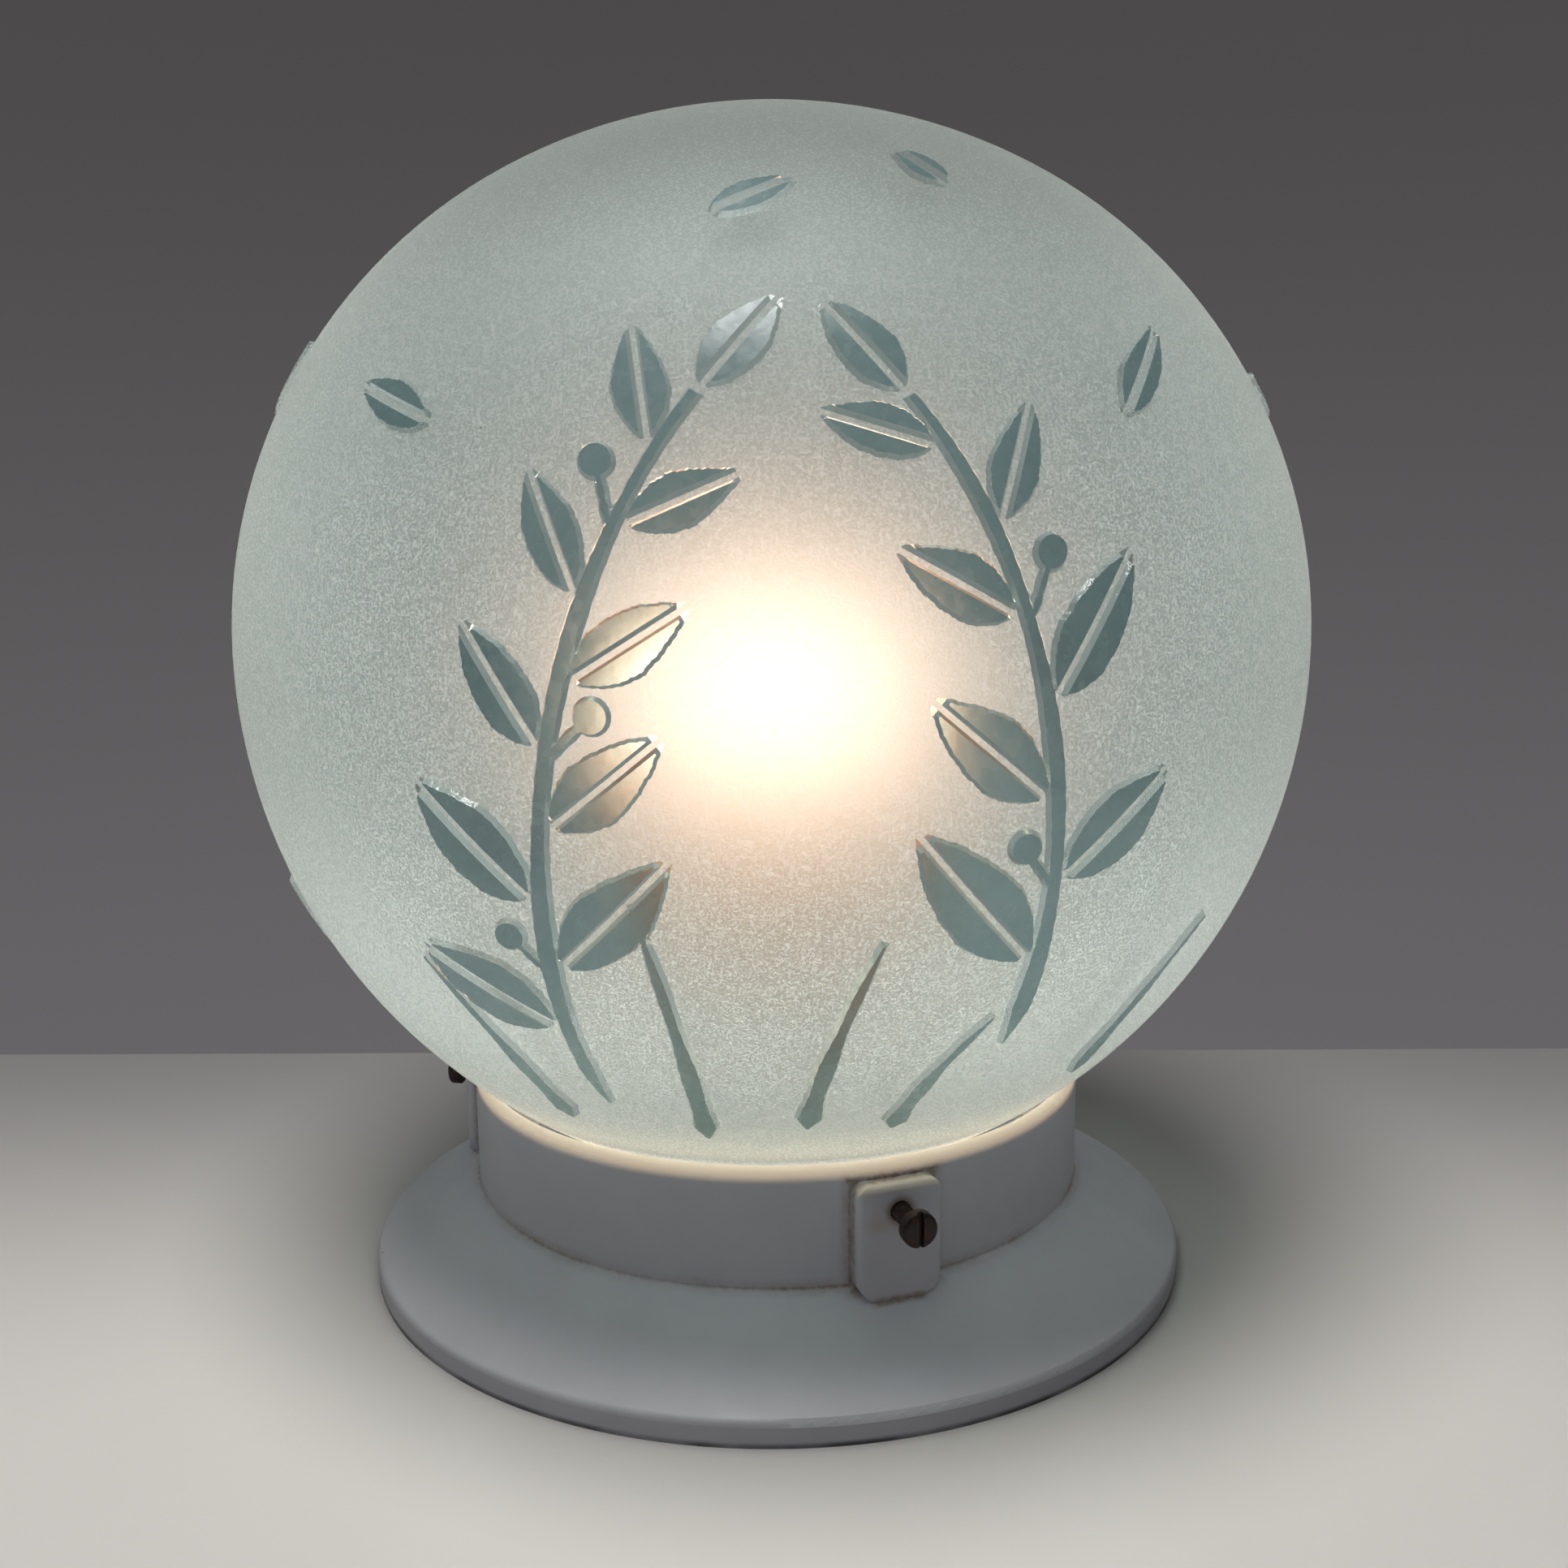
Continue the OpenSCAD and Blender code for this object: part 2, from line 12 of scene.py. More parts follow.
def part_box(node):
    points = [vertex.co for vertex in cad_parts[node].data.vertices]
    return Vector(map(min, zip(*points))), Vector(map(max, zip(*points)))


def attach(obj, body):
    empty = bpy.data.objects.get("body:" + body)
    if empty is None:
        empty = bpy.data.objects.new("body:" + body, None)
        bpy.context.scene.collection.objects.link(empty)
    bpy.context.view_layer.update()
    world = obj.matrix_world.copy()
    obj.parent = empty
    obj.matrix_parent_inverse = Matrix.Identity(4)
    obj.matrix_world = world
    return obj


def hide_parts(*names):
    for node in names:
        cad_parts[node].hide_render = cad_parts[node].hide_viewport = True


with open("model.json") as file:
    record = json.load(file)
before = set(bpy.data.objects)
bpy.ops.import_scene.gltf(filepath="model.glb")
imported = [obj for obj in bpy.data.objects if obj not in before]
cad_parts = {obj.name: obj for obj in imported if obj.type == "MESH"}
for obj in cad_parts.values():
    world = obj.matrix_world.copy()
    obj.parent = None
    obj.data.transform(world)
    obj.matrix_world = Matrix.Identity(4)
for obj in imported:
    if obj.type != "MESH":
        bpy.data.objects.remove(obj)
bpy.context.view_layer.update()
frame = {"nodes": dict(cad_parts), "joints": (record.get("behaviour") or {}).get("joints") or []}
nodes = frame["nodes"]

# Shapes and places on them are worked out in millimetres, and written in metres
MM = 0.001


def box_mm(node):
    """Lowest and highest corner of a CAD node, in millimetres."""
    low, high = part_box(node)
    return low / MM, high / MM


# Fixing screws
SCREW_R = 1.75
SCREW_ROOT = 1.45
SCREW_PITCH = 0.6
SCREW_COLUMNS = 36
SCREW_ROWS = 8
# Chamfer at the tip, plain neck under the head, and length over which the thread runs out at its ends
SCREW_POINT = 0.4
SCREW_NECK = 0.2
SCREW_RUN_OUT = 0.7
# How steep a ridge of the thread is, and how much of its foot is cut off
RIDGE_RISE = 1.25
RIDGE_CUT = 0.1
HEAD_R = 3.2
HEAD_H = 2.6
HEAD_EDGE_R = 0.25
HEAD_ROUND_R = 0.7
HEAD_CROWN_H = 0.2
# Radius, and drop below the head's top
HEAD_CROWN = ((1.6, 0.1), (0.8, 0.03), (0.0, 0.0))
SLOT_W = 0.9
SLOT_H = 1.2
SLOT_PAST_TOP = 1.0
SCREW_Z = box_mm("fixing_screw_front")[0].z + HEAD_R

# Base
BASE_HIGH = box_mm("base")[1]
FLANGE_R = BASE_HIGH.x
FLANGE_H = 18.0
RIM_Z = BASE_HIGH.z
COLLAR_R = 60.0
BOSS_W = 15.8
BOSS_T = 3.3
BOSS_ABOVE_SCREW = 5.0
BOSS_FACE = COLLAR_R + BOSS_T
BOSS_TOP = SCREW_Z + BOSS_ABOVE_SCREW
BOSS_FOOT = 15.84
BOSS_TURN = 50.5

# Globe
GLOBE_LOW, GLOBE_HIGH = box_mm("globe")
GLOBE_R = GLOBE_HIGH.x
GLASS_T = 3.0
CROWN_DROP = 3.0
SHOULDER_OUT = 4.0
BELLY_OUT = 4.0
LIP_R = 50.8
LIP_H = 4.5
NECK_R = 48.1
NECK_BLEND_R = 4.0
GROOVE_R = 0.6
GROOVE_UP = 0.55
MOUTH_R = 0.8
LIP_Z = GLOBE_LOW.z
GLOBE_Z = GLOBE_HIGH.z - GLOBE_R + CROWN_DROP
CROWN_RISE = SHOULDER_OUT - CROWN_DROP
CROWN_DOWN = (SHOULDER_OUT ** 2 - CROWN_RISE ** 2) / (2 * CROWN_RISE)
CROWN_START = 90 - math.degrees(math.atan2(SHOULDER_OUT, CROWN_DOWN))
BLEND_X = NECK_R + NECK_BLEND_R
BLEND_Z = GLOBE_Z - math.sqrt((GLOBE_R + BELLY_OUT + NECK_BLEND_R) ** 2 - (BLEND_X + BELLY_OUT) ** 2)
BELLY_START = math.degrees(math.atan2(BLEND_Z - GLOBE_Z, BLEND_X + BELLY_OUT))

# The globe's face above the neck: centre, radius, first and last angle of each arc
GLOBE_ARCS = [
    ((-BELLY_OUT, GLOBE_Z), GLOBE_R + BELLY_OUT, BELLY_START, 0.0),
    ((SHOULDER_OUT, GLOBE_Z), GLOBE_R - SHOULDER_OUT, 0.0, CROWN_START),
    ((0.0, GLOBE_Z - CROWN_DOWN), GLOBE_R - CROWN_DROP + CROWN_DOWN, CROWN_START, 90.0),
]
# Steps along each arc of the inside, and along the bend into the neck
ARC_STEPS = (28, 28, 14)
BEND_STEPS = 8

# Painted glow on the blasted face, standing for the bulb's light that it scatters: two heights, and its
# strength at each. The steps add up: weaker towards the crown, stronger low down, where the white base
# throws light back, and weaker again next to the neck, which the lampholder shades
PAINTED_GLOW_STEPS = (
    (215.0, 130.0, 0.068, 0.142),
    (120.0, 70.0, 0.0, 0.07),
    (66.0, 44.0, 0.0, -0.075),
)
# Heights between which the crown is darkened as a painted shade, and between which the glass inside the
# collar's rim gets a painted glow
CROWN_PAINTED_SHADE = (185.0, 216.0)
COLLAR_PAINTED_GLOW = (41.2, 37.2)

# Bulb and lampholder, whose round thread is the common 27 mm one
BULB_BRIGHT_Z = 118.5
BULB_BRIGHT_H = 34.0
ROUND_PITCH = 3.629
ROUND_RUN_OUT = 2.0
ROUND_COLUMNS = 96
ROUND_ROWS = 12
CAP_DEPTH = 0.9
CAP_WALL = 0.6
CAP_THREAD_WALL = 0.4
CAP_FOOT_H = 1.6
CAP_FOOT_GAP = 0.05
CAP_SKIRT_H = 3.0
# The step from the thread out to the skirt, and the rounded edges of the skirt
CAP_STEP_H = 0.5
CAP_BEND_H = 0.4
CAP_EDGE = 0.15
CAP_EDGE_H = 0.2
# The cap's foot turns up to its thread between two points: how far in from the thread's middle, and height
CAP_FOOT_EDGE = ((0.6, 0.0), (0.2, 0.3))
SHELL_WALL = 0.4
SHELL_FLOOR_T = 0.7
SHELL_HOLE_R = 8.0
SHELL_DEPTH = 0.6
SHELL_CORNER = 0.3
SHELL_FOOT = 0.4
SHELL_MOUTH_H = 1.2
SHELL_EDGE = 0.1
SHELL_EDGE_H = 0.3

# Relief on the glass, on a chart of its face that is cut into triangles
RELIEF_RISE = 0.8
RELIEF_BEVEL = 0.55
COLUMNS = 180
CHART_LOW = 12.0
CHART_HIGH = 232.0
CHART_ROWS = 62
FOOT_ROWS = 4
CROWN_ROWS = 8
# Room between the chart's plain grid and the relief's outlines, and how near a point on a line may lie to it
GRID_CLEAR = 1.1
SEAM = 1e-3
CUT_TOLERANCE = 1e-5
# Material slots of the globe
FROSTED, CLEAR, INNER, EDGE = range(4)

# Edges between faces that meet at more than this stay sharp
SHARP = math.radians(35)


def rgb(r, g, b):
    return (r, g, b, 1.0)


class Tree:
    """A node tree, built with short calls."""

    def __init__(self, tree, place):
        self.tree = tree
        self.place = tree.nodes.new("ShaderNodeTexCoord").outputs[place]

    def put(self, socket, value):
        """Links a socket to another node's output, or sets a plain value on it."""
        if isinstance(value, bpy.types.NodeSocket):
            self.tree.links.new(value, socket)
        else:
            socket.default_value = value

    def add(self, kind, inputs, **settings):
        node = self.tree.nodes.new(kind)
        for key, value in settings.items():
            setattr(node, key, value)
        for key, value in inputs.items():
            self.put(node.inputs[key], value)
        return node

    def axis(self, name):
        return self.add("ShaderNodeSeparateXYZ", {0: self.place}).outputs[name]

    def math(self, operation, a, b=0.0, c=0.0):
        return self.add("ShaderNodeMath", {0: a, 1: b, 2: c}, operation=operation).outputs[0]

    def plus(self, a, b):
        return self.math("ADD", a, b)

    def minus(self, a, b):
        return self.math("SUBTRACT", a, b)

    def times(self, a, b):
        return self.math("MULTIPLY", a, b)

    def most(self, a, b):
        return self.math("MAXIMUM", a, b)

    def length(self, a, b):
        """Length of a line from what it covers along two axes."""
        return self.math("POWER", self.math("MULTIPLY_ADD", a, a, self.times(b, b)), 0.5)

    def ramp(self, value, low, high, start=0.0, stop=1.0):
        """Smooth step of a value from start, at low, to stop, at high."""
        inputs = {"Value": value, "From Min": low, "From Max": high, "To Min": start, "To Max": stop}
        return self.add("ShaderNodeMapRange", inputs, interpolation_type="SMOOTHSTEP").outputs["Result"]

    def mix(self, share, a, b):
        return self.add("ShaderNodeMix", {0: share, 6: a, 7: b}, data_type="RGBA").outputs[2]


class Material(Tree):
    """A material around one Principled shader, with its sizes in millimetres."""

    def __init__(self, name):
        self.material = bpy.data.materials.new(name)
        self.material.use_nodes = True
        super().__init__(self.material.node_tree, "Object")
        self.shader = self.tree.nodes["Principled BSDF"]

    def set(self, **inputs):
        """Sets the shader's sockets, with underscores for the spaces in their names."""
        for key, value in inputs.items():
            self.put(self.shader.inputs[key.replace("_", " ")], value)
        return self.material

    def along(self, axis):
        """Place along an axis."""
        return self.math("DIVIDE", self.axis(axis), MM)

    def noise(self, size, detail=3.0):
        """Noise whose lumps are about a size across."""
        inputs = {"Vector": self.place, "Scale": 1 / (size * MM), "Detail": detail, "Roughness": 0.55}
        return self.add("ShaderNodeTexNoise", inputs).outputs["Fac"]

    def specks(self, pitch, radius):
        """Round specks of a radius, about one in each cell of a pitch."""
        inputs = {"Vector": self.place, "Scale": 1 / (pitch * MM), "Randomness": 1.0}
        near = self.add("ShaderNodeTexVoronoi", inputs).outputs["Distance"]
        return self.ramp(near, radius / pitch, 0.4 * radius / pitch)

    def bump(self, height, depth, strength=1.0):
        """Bump of a depth."""
        inputs = {"Height": height, "Distance": depth * MM, "Strength": strength}
        return self.add("ShaderNodeBump", inputs).outputs["Normal"]


# Glass
def frosted_glass():
    """Sandblasted face of the globe, with its fine grain, painted sparkles, a few specks of dust, a painted
    shade at the crown and a painted glow for the bulb's light that it scatters.
    """
    n = Material("frosted_glass")
    height = n.along("Z")
    grain = n.noise(0.42, detail=1.5)
    # Painted sparkle: white specks in the colour and bright specks in the glow stand in for glints
    painted_sparkle = n.specks(1.0, 0.24)
    tint = n.mix(n.ramp(n.noise(28.0), 0.3, 0.7), rgb(0.70, 0.78, 0.76), rgb(0.74, 0.81, 0.79))
    tint = n.mix(n.ramp(grain, 0.45, 0.66), tint, rgb(0.93, 1.0, 0.98))
    tint = n.mix(painted_sparkle, tint, rgb(1.0, 1.0, 1.0))
    # Painted shade: the crown is darkened towards the top
    tint = n.mix(n.ramp(height, *CROWN_PAINTED_SHADE, 0.0, 0.4), tint, rgb(0.20, 0.25, 0.24))
    tint = n.mix(n.specks(19.0, 0.3), tint, rgb(0.22, 0.21, 0.19))
    # Painted glow: emission by height standing for the bulb's light that the blasted face scatters, warm and
    # stronger inside the collar's rim
    glow = 0.0
    for step in PAINTED_GLOW_STEPS:
        glow = n.plus(n.ramp(height, *step), glow)
    low = n.ramp(height, *COLLAR_PAINTED_GLOW)
    glow = n.math("MULTIPLY_ADD", low, 0.8, glow)
    painted_twinkle = n.math("MULTIPLY_ADD", painted_sparkle, 0.8, n.ramp(grain, 0.44, 0.66, 0.64, 1.60))
    return n.set(
        Base_Color=tint, Roughness=n.ramp(grain, 0.35, 0.68, 0.74, 0.94), IOR=1.48, Transmission_Weight=0.94,
        Specular_IOR_Level=0.25, Normal=n.bump(grain, 0.12, 0.5), Emission_Strength=n.times(glow, painted_twinkle),
        Emission_Color=n.mix(low, rgb(0.90, 0.965, 0.90), rgb(1.0, 0.76, 0.52)),
    )


def clear_relief():
    """Raised parts of the globe's face, left clear and slightly wavy."""
    n = Material("clear_relief")
    wave = n.noise(2.2, detail=2.0)
    tint = n.mix(n.ramp(n.noise(9.0), 0.3, 0.7), rgb(0.23, 0.42, 0.46), rgb(0.29, 0.49, 0.53))
    return n.set(
        Base_Color=tint, Roughness=n.ramp(wave, 0.3, 0.7, 0.20, 0.32), IOR=1.5, Transmission_Weight=0.9,
        Normal=n.bump(wave, 0.08, 0.5),
    )


def relief_edge():
    """Cut edges of the relief, clear and slightly chipped. Their pale tint, paler than the relief's top, is
    a painted highlight along the edges.
    """
    n = Material("relief_edge")
    chip = n.noise(0.8, detail=2.0)
    tint = n.mix(chip, rgb(0.52, 0.68, 0.70), rgb(0.86, 0.94, 0.94))
    return n.set(
        Base_Color=tint, Roughness=n.ramp(chip, 0.3, 0.7, 0.05, 0.16), IOR=1.5, Transmission_Weight=0.95,
        Normal=n.bump(chip, 0.1, 0.6),
    )


def inner_glass():
    """Inside and lip of the globe, a little dull."""
    n = Material("inner_glass")
    wave = n.noise(14.0)
    tint = n.mix(wave, rgb(0.88, 0.96, 0.95), rgb(0.92, 0.97, 0.97))
    return n.set(
        Base_Color=tint, Roughness=n.ramp(wave, 0.3, 0.7, 0.30, 0.38), IOR=1.25, Transmission_Weight=1.0,
    )


def lit_bulb():
    """Pearl glass of the lit bulb, brightest round its middle. The coat's tint dims it towards its edge."""
    n = Material("lit_bulb")
    off = n.math("ABSOLUTE", n.minus(n.along("Z"), BULB_BRIGHT_Z))
    near = n.ramp(off, BULB_BRIGHT_H, 0.0)
    return n.set(
        Base_Color=n.mix(n.noise(6.0), rgb(0.95, 0.93, 0.88), rgb(0.9, 0.88, 0.84)), Roughness=0.4,
        Emission_Color=n.mix(near, rgb(1.0, 0.50, 0.26), rgb(1.0, 0.98, 1.0)),
        Emission_Strength=n.math("MULTIPLY_ADD", near, 6.4, 0.4),
        Coat_Weight=1.0, Coat_Tint=rgb(0.66, 0.52, 0.42), Coat_IOR=1.01, Coat_Roughness=0.3,
    )


def plain_glass(name, colour, rough, through):
    """Clear or dark glass of the bulb's small parts."""
    n = Material(name)
    tint = n.mix(n.noise(3.0), rgb(*colour), rgb(*(0.9 * c for c in colour)))
    return n.set(Base_Color=tint, Roughness=rough, IOR=1.5, Transmission_Weight=through)


# Base
class Moulding(Material):
    """Material of the base, with the places that its dirt, rust, painted highlight and painted shadow
    follow.
    """

    def __init__(self, name):
        super().__init__(name)
        x, y, self.z = (self.along(axis) for axis in "XYZ")
        self.reach = self.length(x, y)
        # The three bosses are alike, so a third of the turn stands for all of them
        turn = self.minus(self.math("ARCTAN2", y, x), math.radians(BOSS_TURN))
        turn = self.math("WRAP", turn, math.pi / 3, -math.pi / 3)
        self.side = self.times(self.reach, self.math("SINE", turn))
        self.out = self.times(self.reach, self.math("COSINE", turn))
        # Distance outside a boss's outline, seen from the front
        self.beside = self.minus(self.math("ABSOLUTE", self.side), BOSS_W / 2)
        middle, half = (BOSS_TOP + BOSS_FOOT) / 2, (BOSS_TOP - BOSS_FOOT) / 2
        above = self.minus(self.math("ABSOLUTE", self.minus(self.z, middle)), half)
        self.off_boss = self.most(self.beside, above)

    def boss_crease(self):
        """Dirt on the collar round a boss, most of it over the boss."""
        line = self.ramp(self.off_boss, 0.75, 0.05, 0.0, 0.8)
        line = self.most(line, self.ramp(self.off_boss, 2.6, 0.3, 0.0, 0.4))
        over = self.ramp(self.z, BOSS_TOP - 1.0, BOSS_TOP + 0.4)
        line = self.most(line, self.times(self.ramp(self.off_boss, 1.5, 0.2), over))
        line = self.times(line, self.ramp(self.out, BOSS_FACE - 0.8, COLLAR_R + 0.6))
        return self.times(line, self.ramp(self.out, COLLAR_R - 2.4, COLLAR_R - 1.4))

    def boss_toe(self):
        """Dirt along the line where a boss's face meets the flange."""
        off = self.length(self.minus(self.out, BOSS_FACE), self.minus(self.z, BOSS_FOOT))
        return self.times(self.ramp(off, 1.3, 0.2, 0.0, 0.8), self.ramp(self.beside, -2.0, -4.0))

    def boss_top_painted_light(self):
        """Upper edge of a boss, painted warm and light as a painted highlight from the lit glass above it.
        """
        top = self.ramp(self.z, BOSS_TOP - 1.7, BOSS_TOP - 0.5)
        top = self.times(top, self.ramp(self.out, COLLAR_R + 0.4, COLLAR_R + 1.2))
        return self.times(top, self.ramp(self.off_boss, 0.3, 0.0))

    def collar_foot(self):
        """Dirt in stretches along the line where the collar meets the flange."""
        off = self.length(self.minus(self.z, FLANGE_H), self.minus(self.reach, COLLAR_R))
        line = self.most(self.ramp(off, 0.8, 0.1, 0.0, 0.8), self.ramp(off, 2.4, 0.3, 0.0, 0.35))
        return self.times(line, self.ramp(self.noise(24.0), 0.38, 0.62, 0.25, 1.0))

    def flange_foot_painted_shadow(self):
        """Painted contact shadow, near black, along the foot of the flange's rim."""
        line = self.times(self.ramp(self.z, 1.3, 0.3), self.ramp(self.reach, FLANGE_R - 1.0, FLANGE_R - 0.2))
        return self.times(line, self.ramp(self.noise(18.0), 0.35, 0.6, 0.45, 0.9))

    def on_boss(self, share):
        """A share on the face of a boss, and none on the collar."""
        return self.ramp(self.out, COLLAR_R + 0.5, BOSS_FACE - 0.4, 0.0, share)

    def rust_ring(self):
        """Rust round the screw's hole."""
        off = self.length(self.side, self.minus(self.z, SCREW_Z))
        return self.times(self.ramp(off, 3.4, 1.8), self.on_boss(0.7))

    def rust_stain(self):
        """Rust that has run out of the screw's hole, to one side and down."""
        off = self.length(self.plus(self.side, 3.0), self.minus(self.z, SCREW_Z - 1.6))
        stain = self.times(self.ramp(off, 4.6, 0.6), self.ramp(self.noise(7.0, detail=4.0), 0.35, 0.65))
        return self.times(stain, self.on_boss(0.5))


def white_moulding():
    """Satin white moulding, with brown dirt in its creases, rust round the screws and a few specks, a
    painted shadow along its foot, painted warm light on its rim and the bosses' top edges, and a painted
    glow at its rim.
    """
    n = Moulding("white_moulding")
    white = n.mix(n.ramp(n.noise(22.0), 0.3, 0.7), rgb(0.80, 0.81, 0.86), rgb(0.75, 0.76, 0.81))
    # The thin rim is tinted cream, partly yellowing next to the glass and partly painted warm light from the
    # glass, and gets a painted glow for the lamp's light coming through it
    rim = n.ramp(n.z, RIM_Z - 3.0, RIM_Z - 0.8)
    dirt = n.most(n.most(n.boss_crease(), n.boss_toe()), n.collar_foot())
    dirt = n.times(dirt, n.ramp(n.noise(1.2), 0.25, 0.7, 0.4, 0.9))
    layers = (
        # Rim: cream tint, partly yellowing and partly painted warm light
        (rim, rgb(0.95, 0.83, 0.68)),
        # Painted highlight on the bosses' top edges
        (n.boss_top_painted_light(), rgb(0.95, 0.86, 0.74)),
        (n.times(n.specks(13.0, 0.3), 0.7), rgb(0.16, 0.14, 0.12)),
        (n.rust_stain(), rgb(0.50, 0.36, 0.20)),
        (n.rust_ring(), rgb(0.26, 0.14, 0.07)),
        (dirt, rgb(0.27, 0.155, 0.075)),
        # Painted shadow along the foot of the flange
        (n.flange_foot_painted_shadow(), rgb(0.035, 0.04, 0.05)),
    )
    for share, colour in layers:
        white = n.mix(share, white, colour)
    rough = n.math("MULTIPLY_ADD", dirt, 0.4, n.ramp(n.noise(3.0), 0.3, 0.7, 0.34, 0.46))
    return n.set(
        Base_Color=white, Roughness=rough, Normal=n.bump(n.noise(1.6, detail=4.0), 0.025, 0.5),
        # Painted glow at the rim
        Emission_Color=rgb(1.0, 0.78, 0.55), Emission_Strength=n.times(rim, 0.36),
    )


# Metals and porcelain
def rusty_steel():
    """Old steel screw, nearly black, with red rust in patches."""
    n = Material("rusty_steel")
    rust = n.ramp(n.noise(0.9, detail=5.0), 0.48, 0.70)
    colour = n.mix(rust, rgb(0.014, 0.011, 0.010), rgb(0.13, 0.048, 0.024))
    return n.set(
        Base_Color=colour, Metallic=0.35, Roughness=n.ramp(rust, 0.0, 1.0, 0.42, 0.85),
        Normal=n.bump(n.noise(0.5, detail=4.0), 0.06),
    )


def metal(name, dark, light, rough):
    """Handled metal, with faint tarnish."""
    n = Material(name)
    tarnish = n.noise(2.5, detail=4.0)
    colour = n.mix(n.ramp(tarnish, 0.35, 0.7), rgb(*light), rgb(*dark))
    return n.set(
        Base_Color=colour, Metallic=1.0, Roughness=n.ramp(tarnish, 0.3, 0.7, rough, rough + 0.16),
        Normal=n.bump(n.noise(0.7), 0.01, 0.5),
    )


def hot_tungsten():
    """Glowing filament."""
    n = Material("hot_tungsten")
    glow = n.mix(n.noise(1.0), rgb(1.0, 0.62, 0.28), rgb(1.0, 0.78, 0.48))
    return n.set(Base_Color=rgb(0.2, 0.18, 0.16), Roughness=0.5, Emission_Color=glow, Emission_Strength=8.0)


def porcelain():
    """Glazed porcelain of the lampholder."""
    n = Material("porcelain")
    colour = n.mix(n.ramp(n.noise(9.0), 0.3, 0.7), rgb(0.84, 0.81, 0.74), rgb(0.78, 0.75, 0.68))
    colour = n.mix(n.times(n.specks(6.0, 0.14), 0.6), colour, rgb(0.3, 0.24, 0.17))
    return n.set(
        Base_Color=colour, Roughness=n.ramp(n.noise(4.0), 0.3, 0.7, 0.12, 0.22), Coat_Weight=0.4,
        Normal=n.bump(n.noise(5.0), 0.05, 0.4),
    )


# Meshes
def smooth(mesh):
    mesh.shade_smooth()
    mesh.set_sharp_from_angle(angle=SHARP)


def add_mesh(name, verts, faces):
    """An object with its vertices in millimetres."""
    mesh = bpy.data.meshes.new(name)
    mesh.from_pydata([Vector(v) * MM for v in verts], [], faces)
    thing = bpy.data.objects.new(name, mesh)
    bpy.context.scene.collection.objects.link(thing)
    return thing


def make_piece(name, lathe, materials, body, stands_for):
    """A turned piece that stands for a CAD node and rides on a body."""
    piece = add_mesh(name, lathe.verts, lathe.faces)
    for material in materials:
        piece.data.materials.append(material)
    piece.data.polygons.foreach_set("material_index", lathe.kinds)
    smooth(piece.data)
    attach(piece, body)
    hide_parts(stands_for)
    return piece


def box_faces():
    """Faces of a box. Its corners run round its lower face and then its upper, leftwards seen from above."""
    sides = [(i, (i + 1) % 4, (i + 1) % 4 + 4, i + 4) for i in range(4)]
    return [(3, 2, 1, 0), (4, 5, 6, 7), *sides]


def cut_box(piece, corners):
    """Cuts a box, with its corners in millimetres, out of a piece."""
    cutter = add_mesh("cutter", corners, box_faces())
    change = piece.modifiers.new("slot", "BOOLEAN")
    change.operation = "DIFFERENCE"
    change.solver = "EXACT"
    change.object = cutter
    bpy.context.view_layer.update()
    done = bpy.data.meshes.new_from_object(piece.evaluated_get(bpy.context.evaluated_depsgraph_get()))
    piece.modifiers.remove(change)
    smooth(done)
    piece.data = done
    bpy.data.objects.remove(cutter)


def arc(centre, radius, start, stop, steps):
    """Points of an arc in a half section, between two angles in degrees."""
    angles = [math.radians(start + (stop - start) * i / steps) for i in range(steps + 1)]
    return [(centre[0] + radius * math.cos(a), centre[1] + radius * math.sin(a)) for a in angles]


def around(radius, height, turn):
    """Point at a turn round the axis, counted from the back of the lamp towards its left and front."""
    return (-radius * math.sin(turn), radius * math.cos(turn), height)


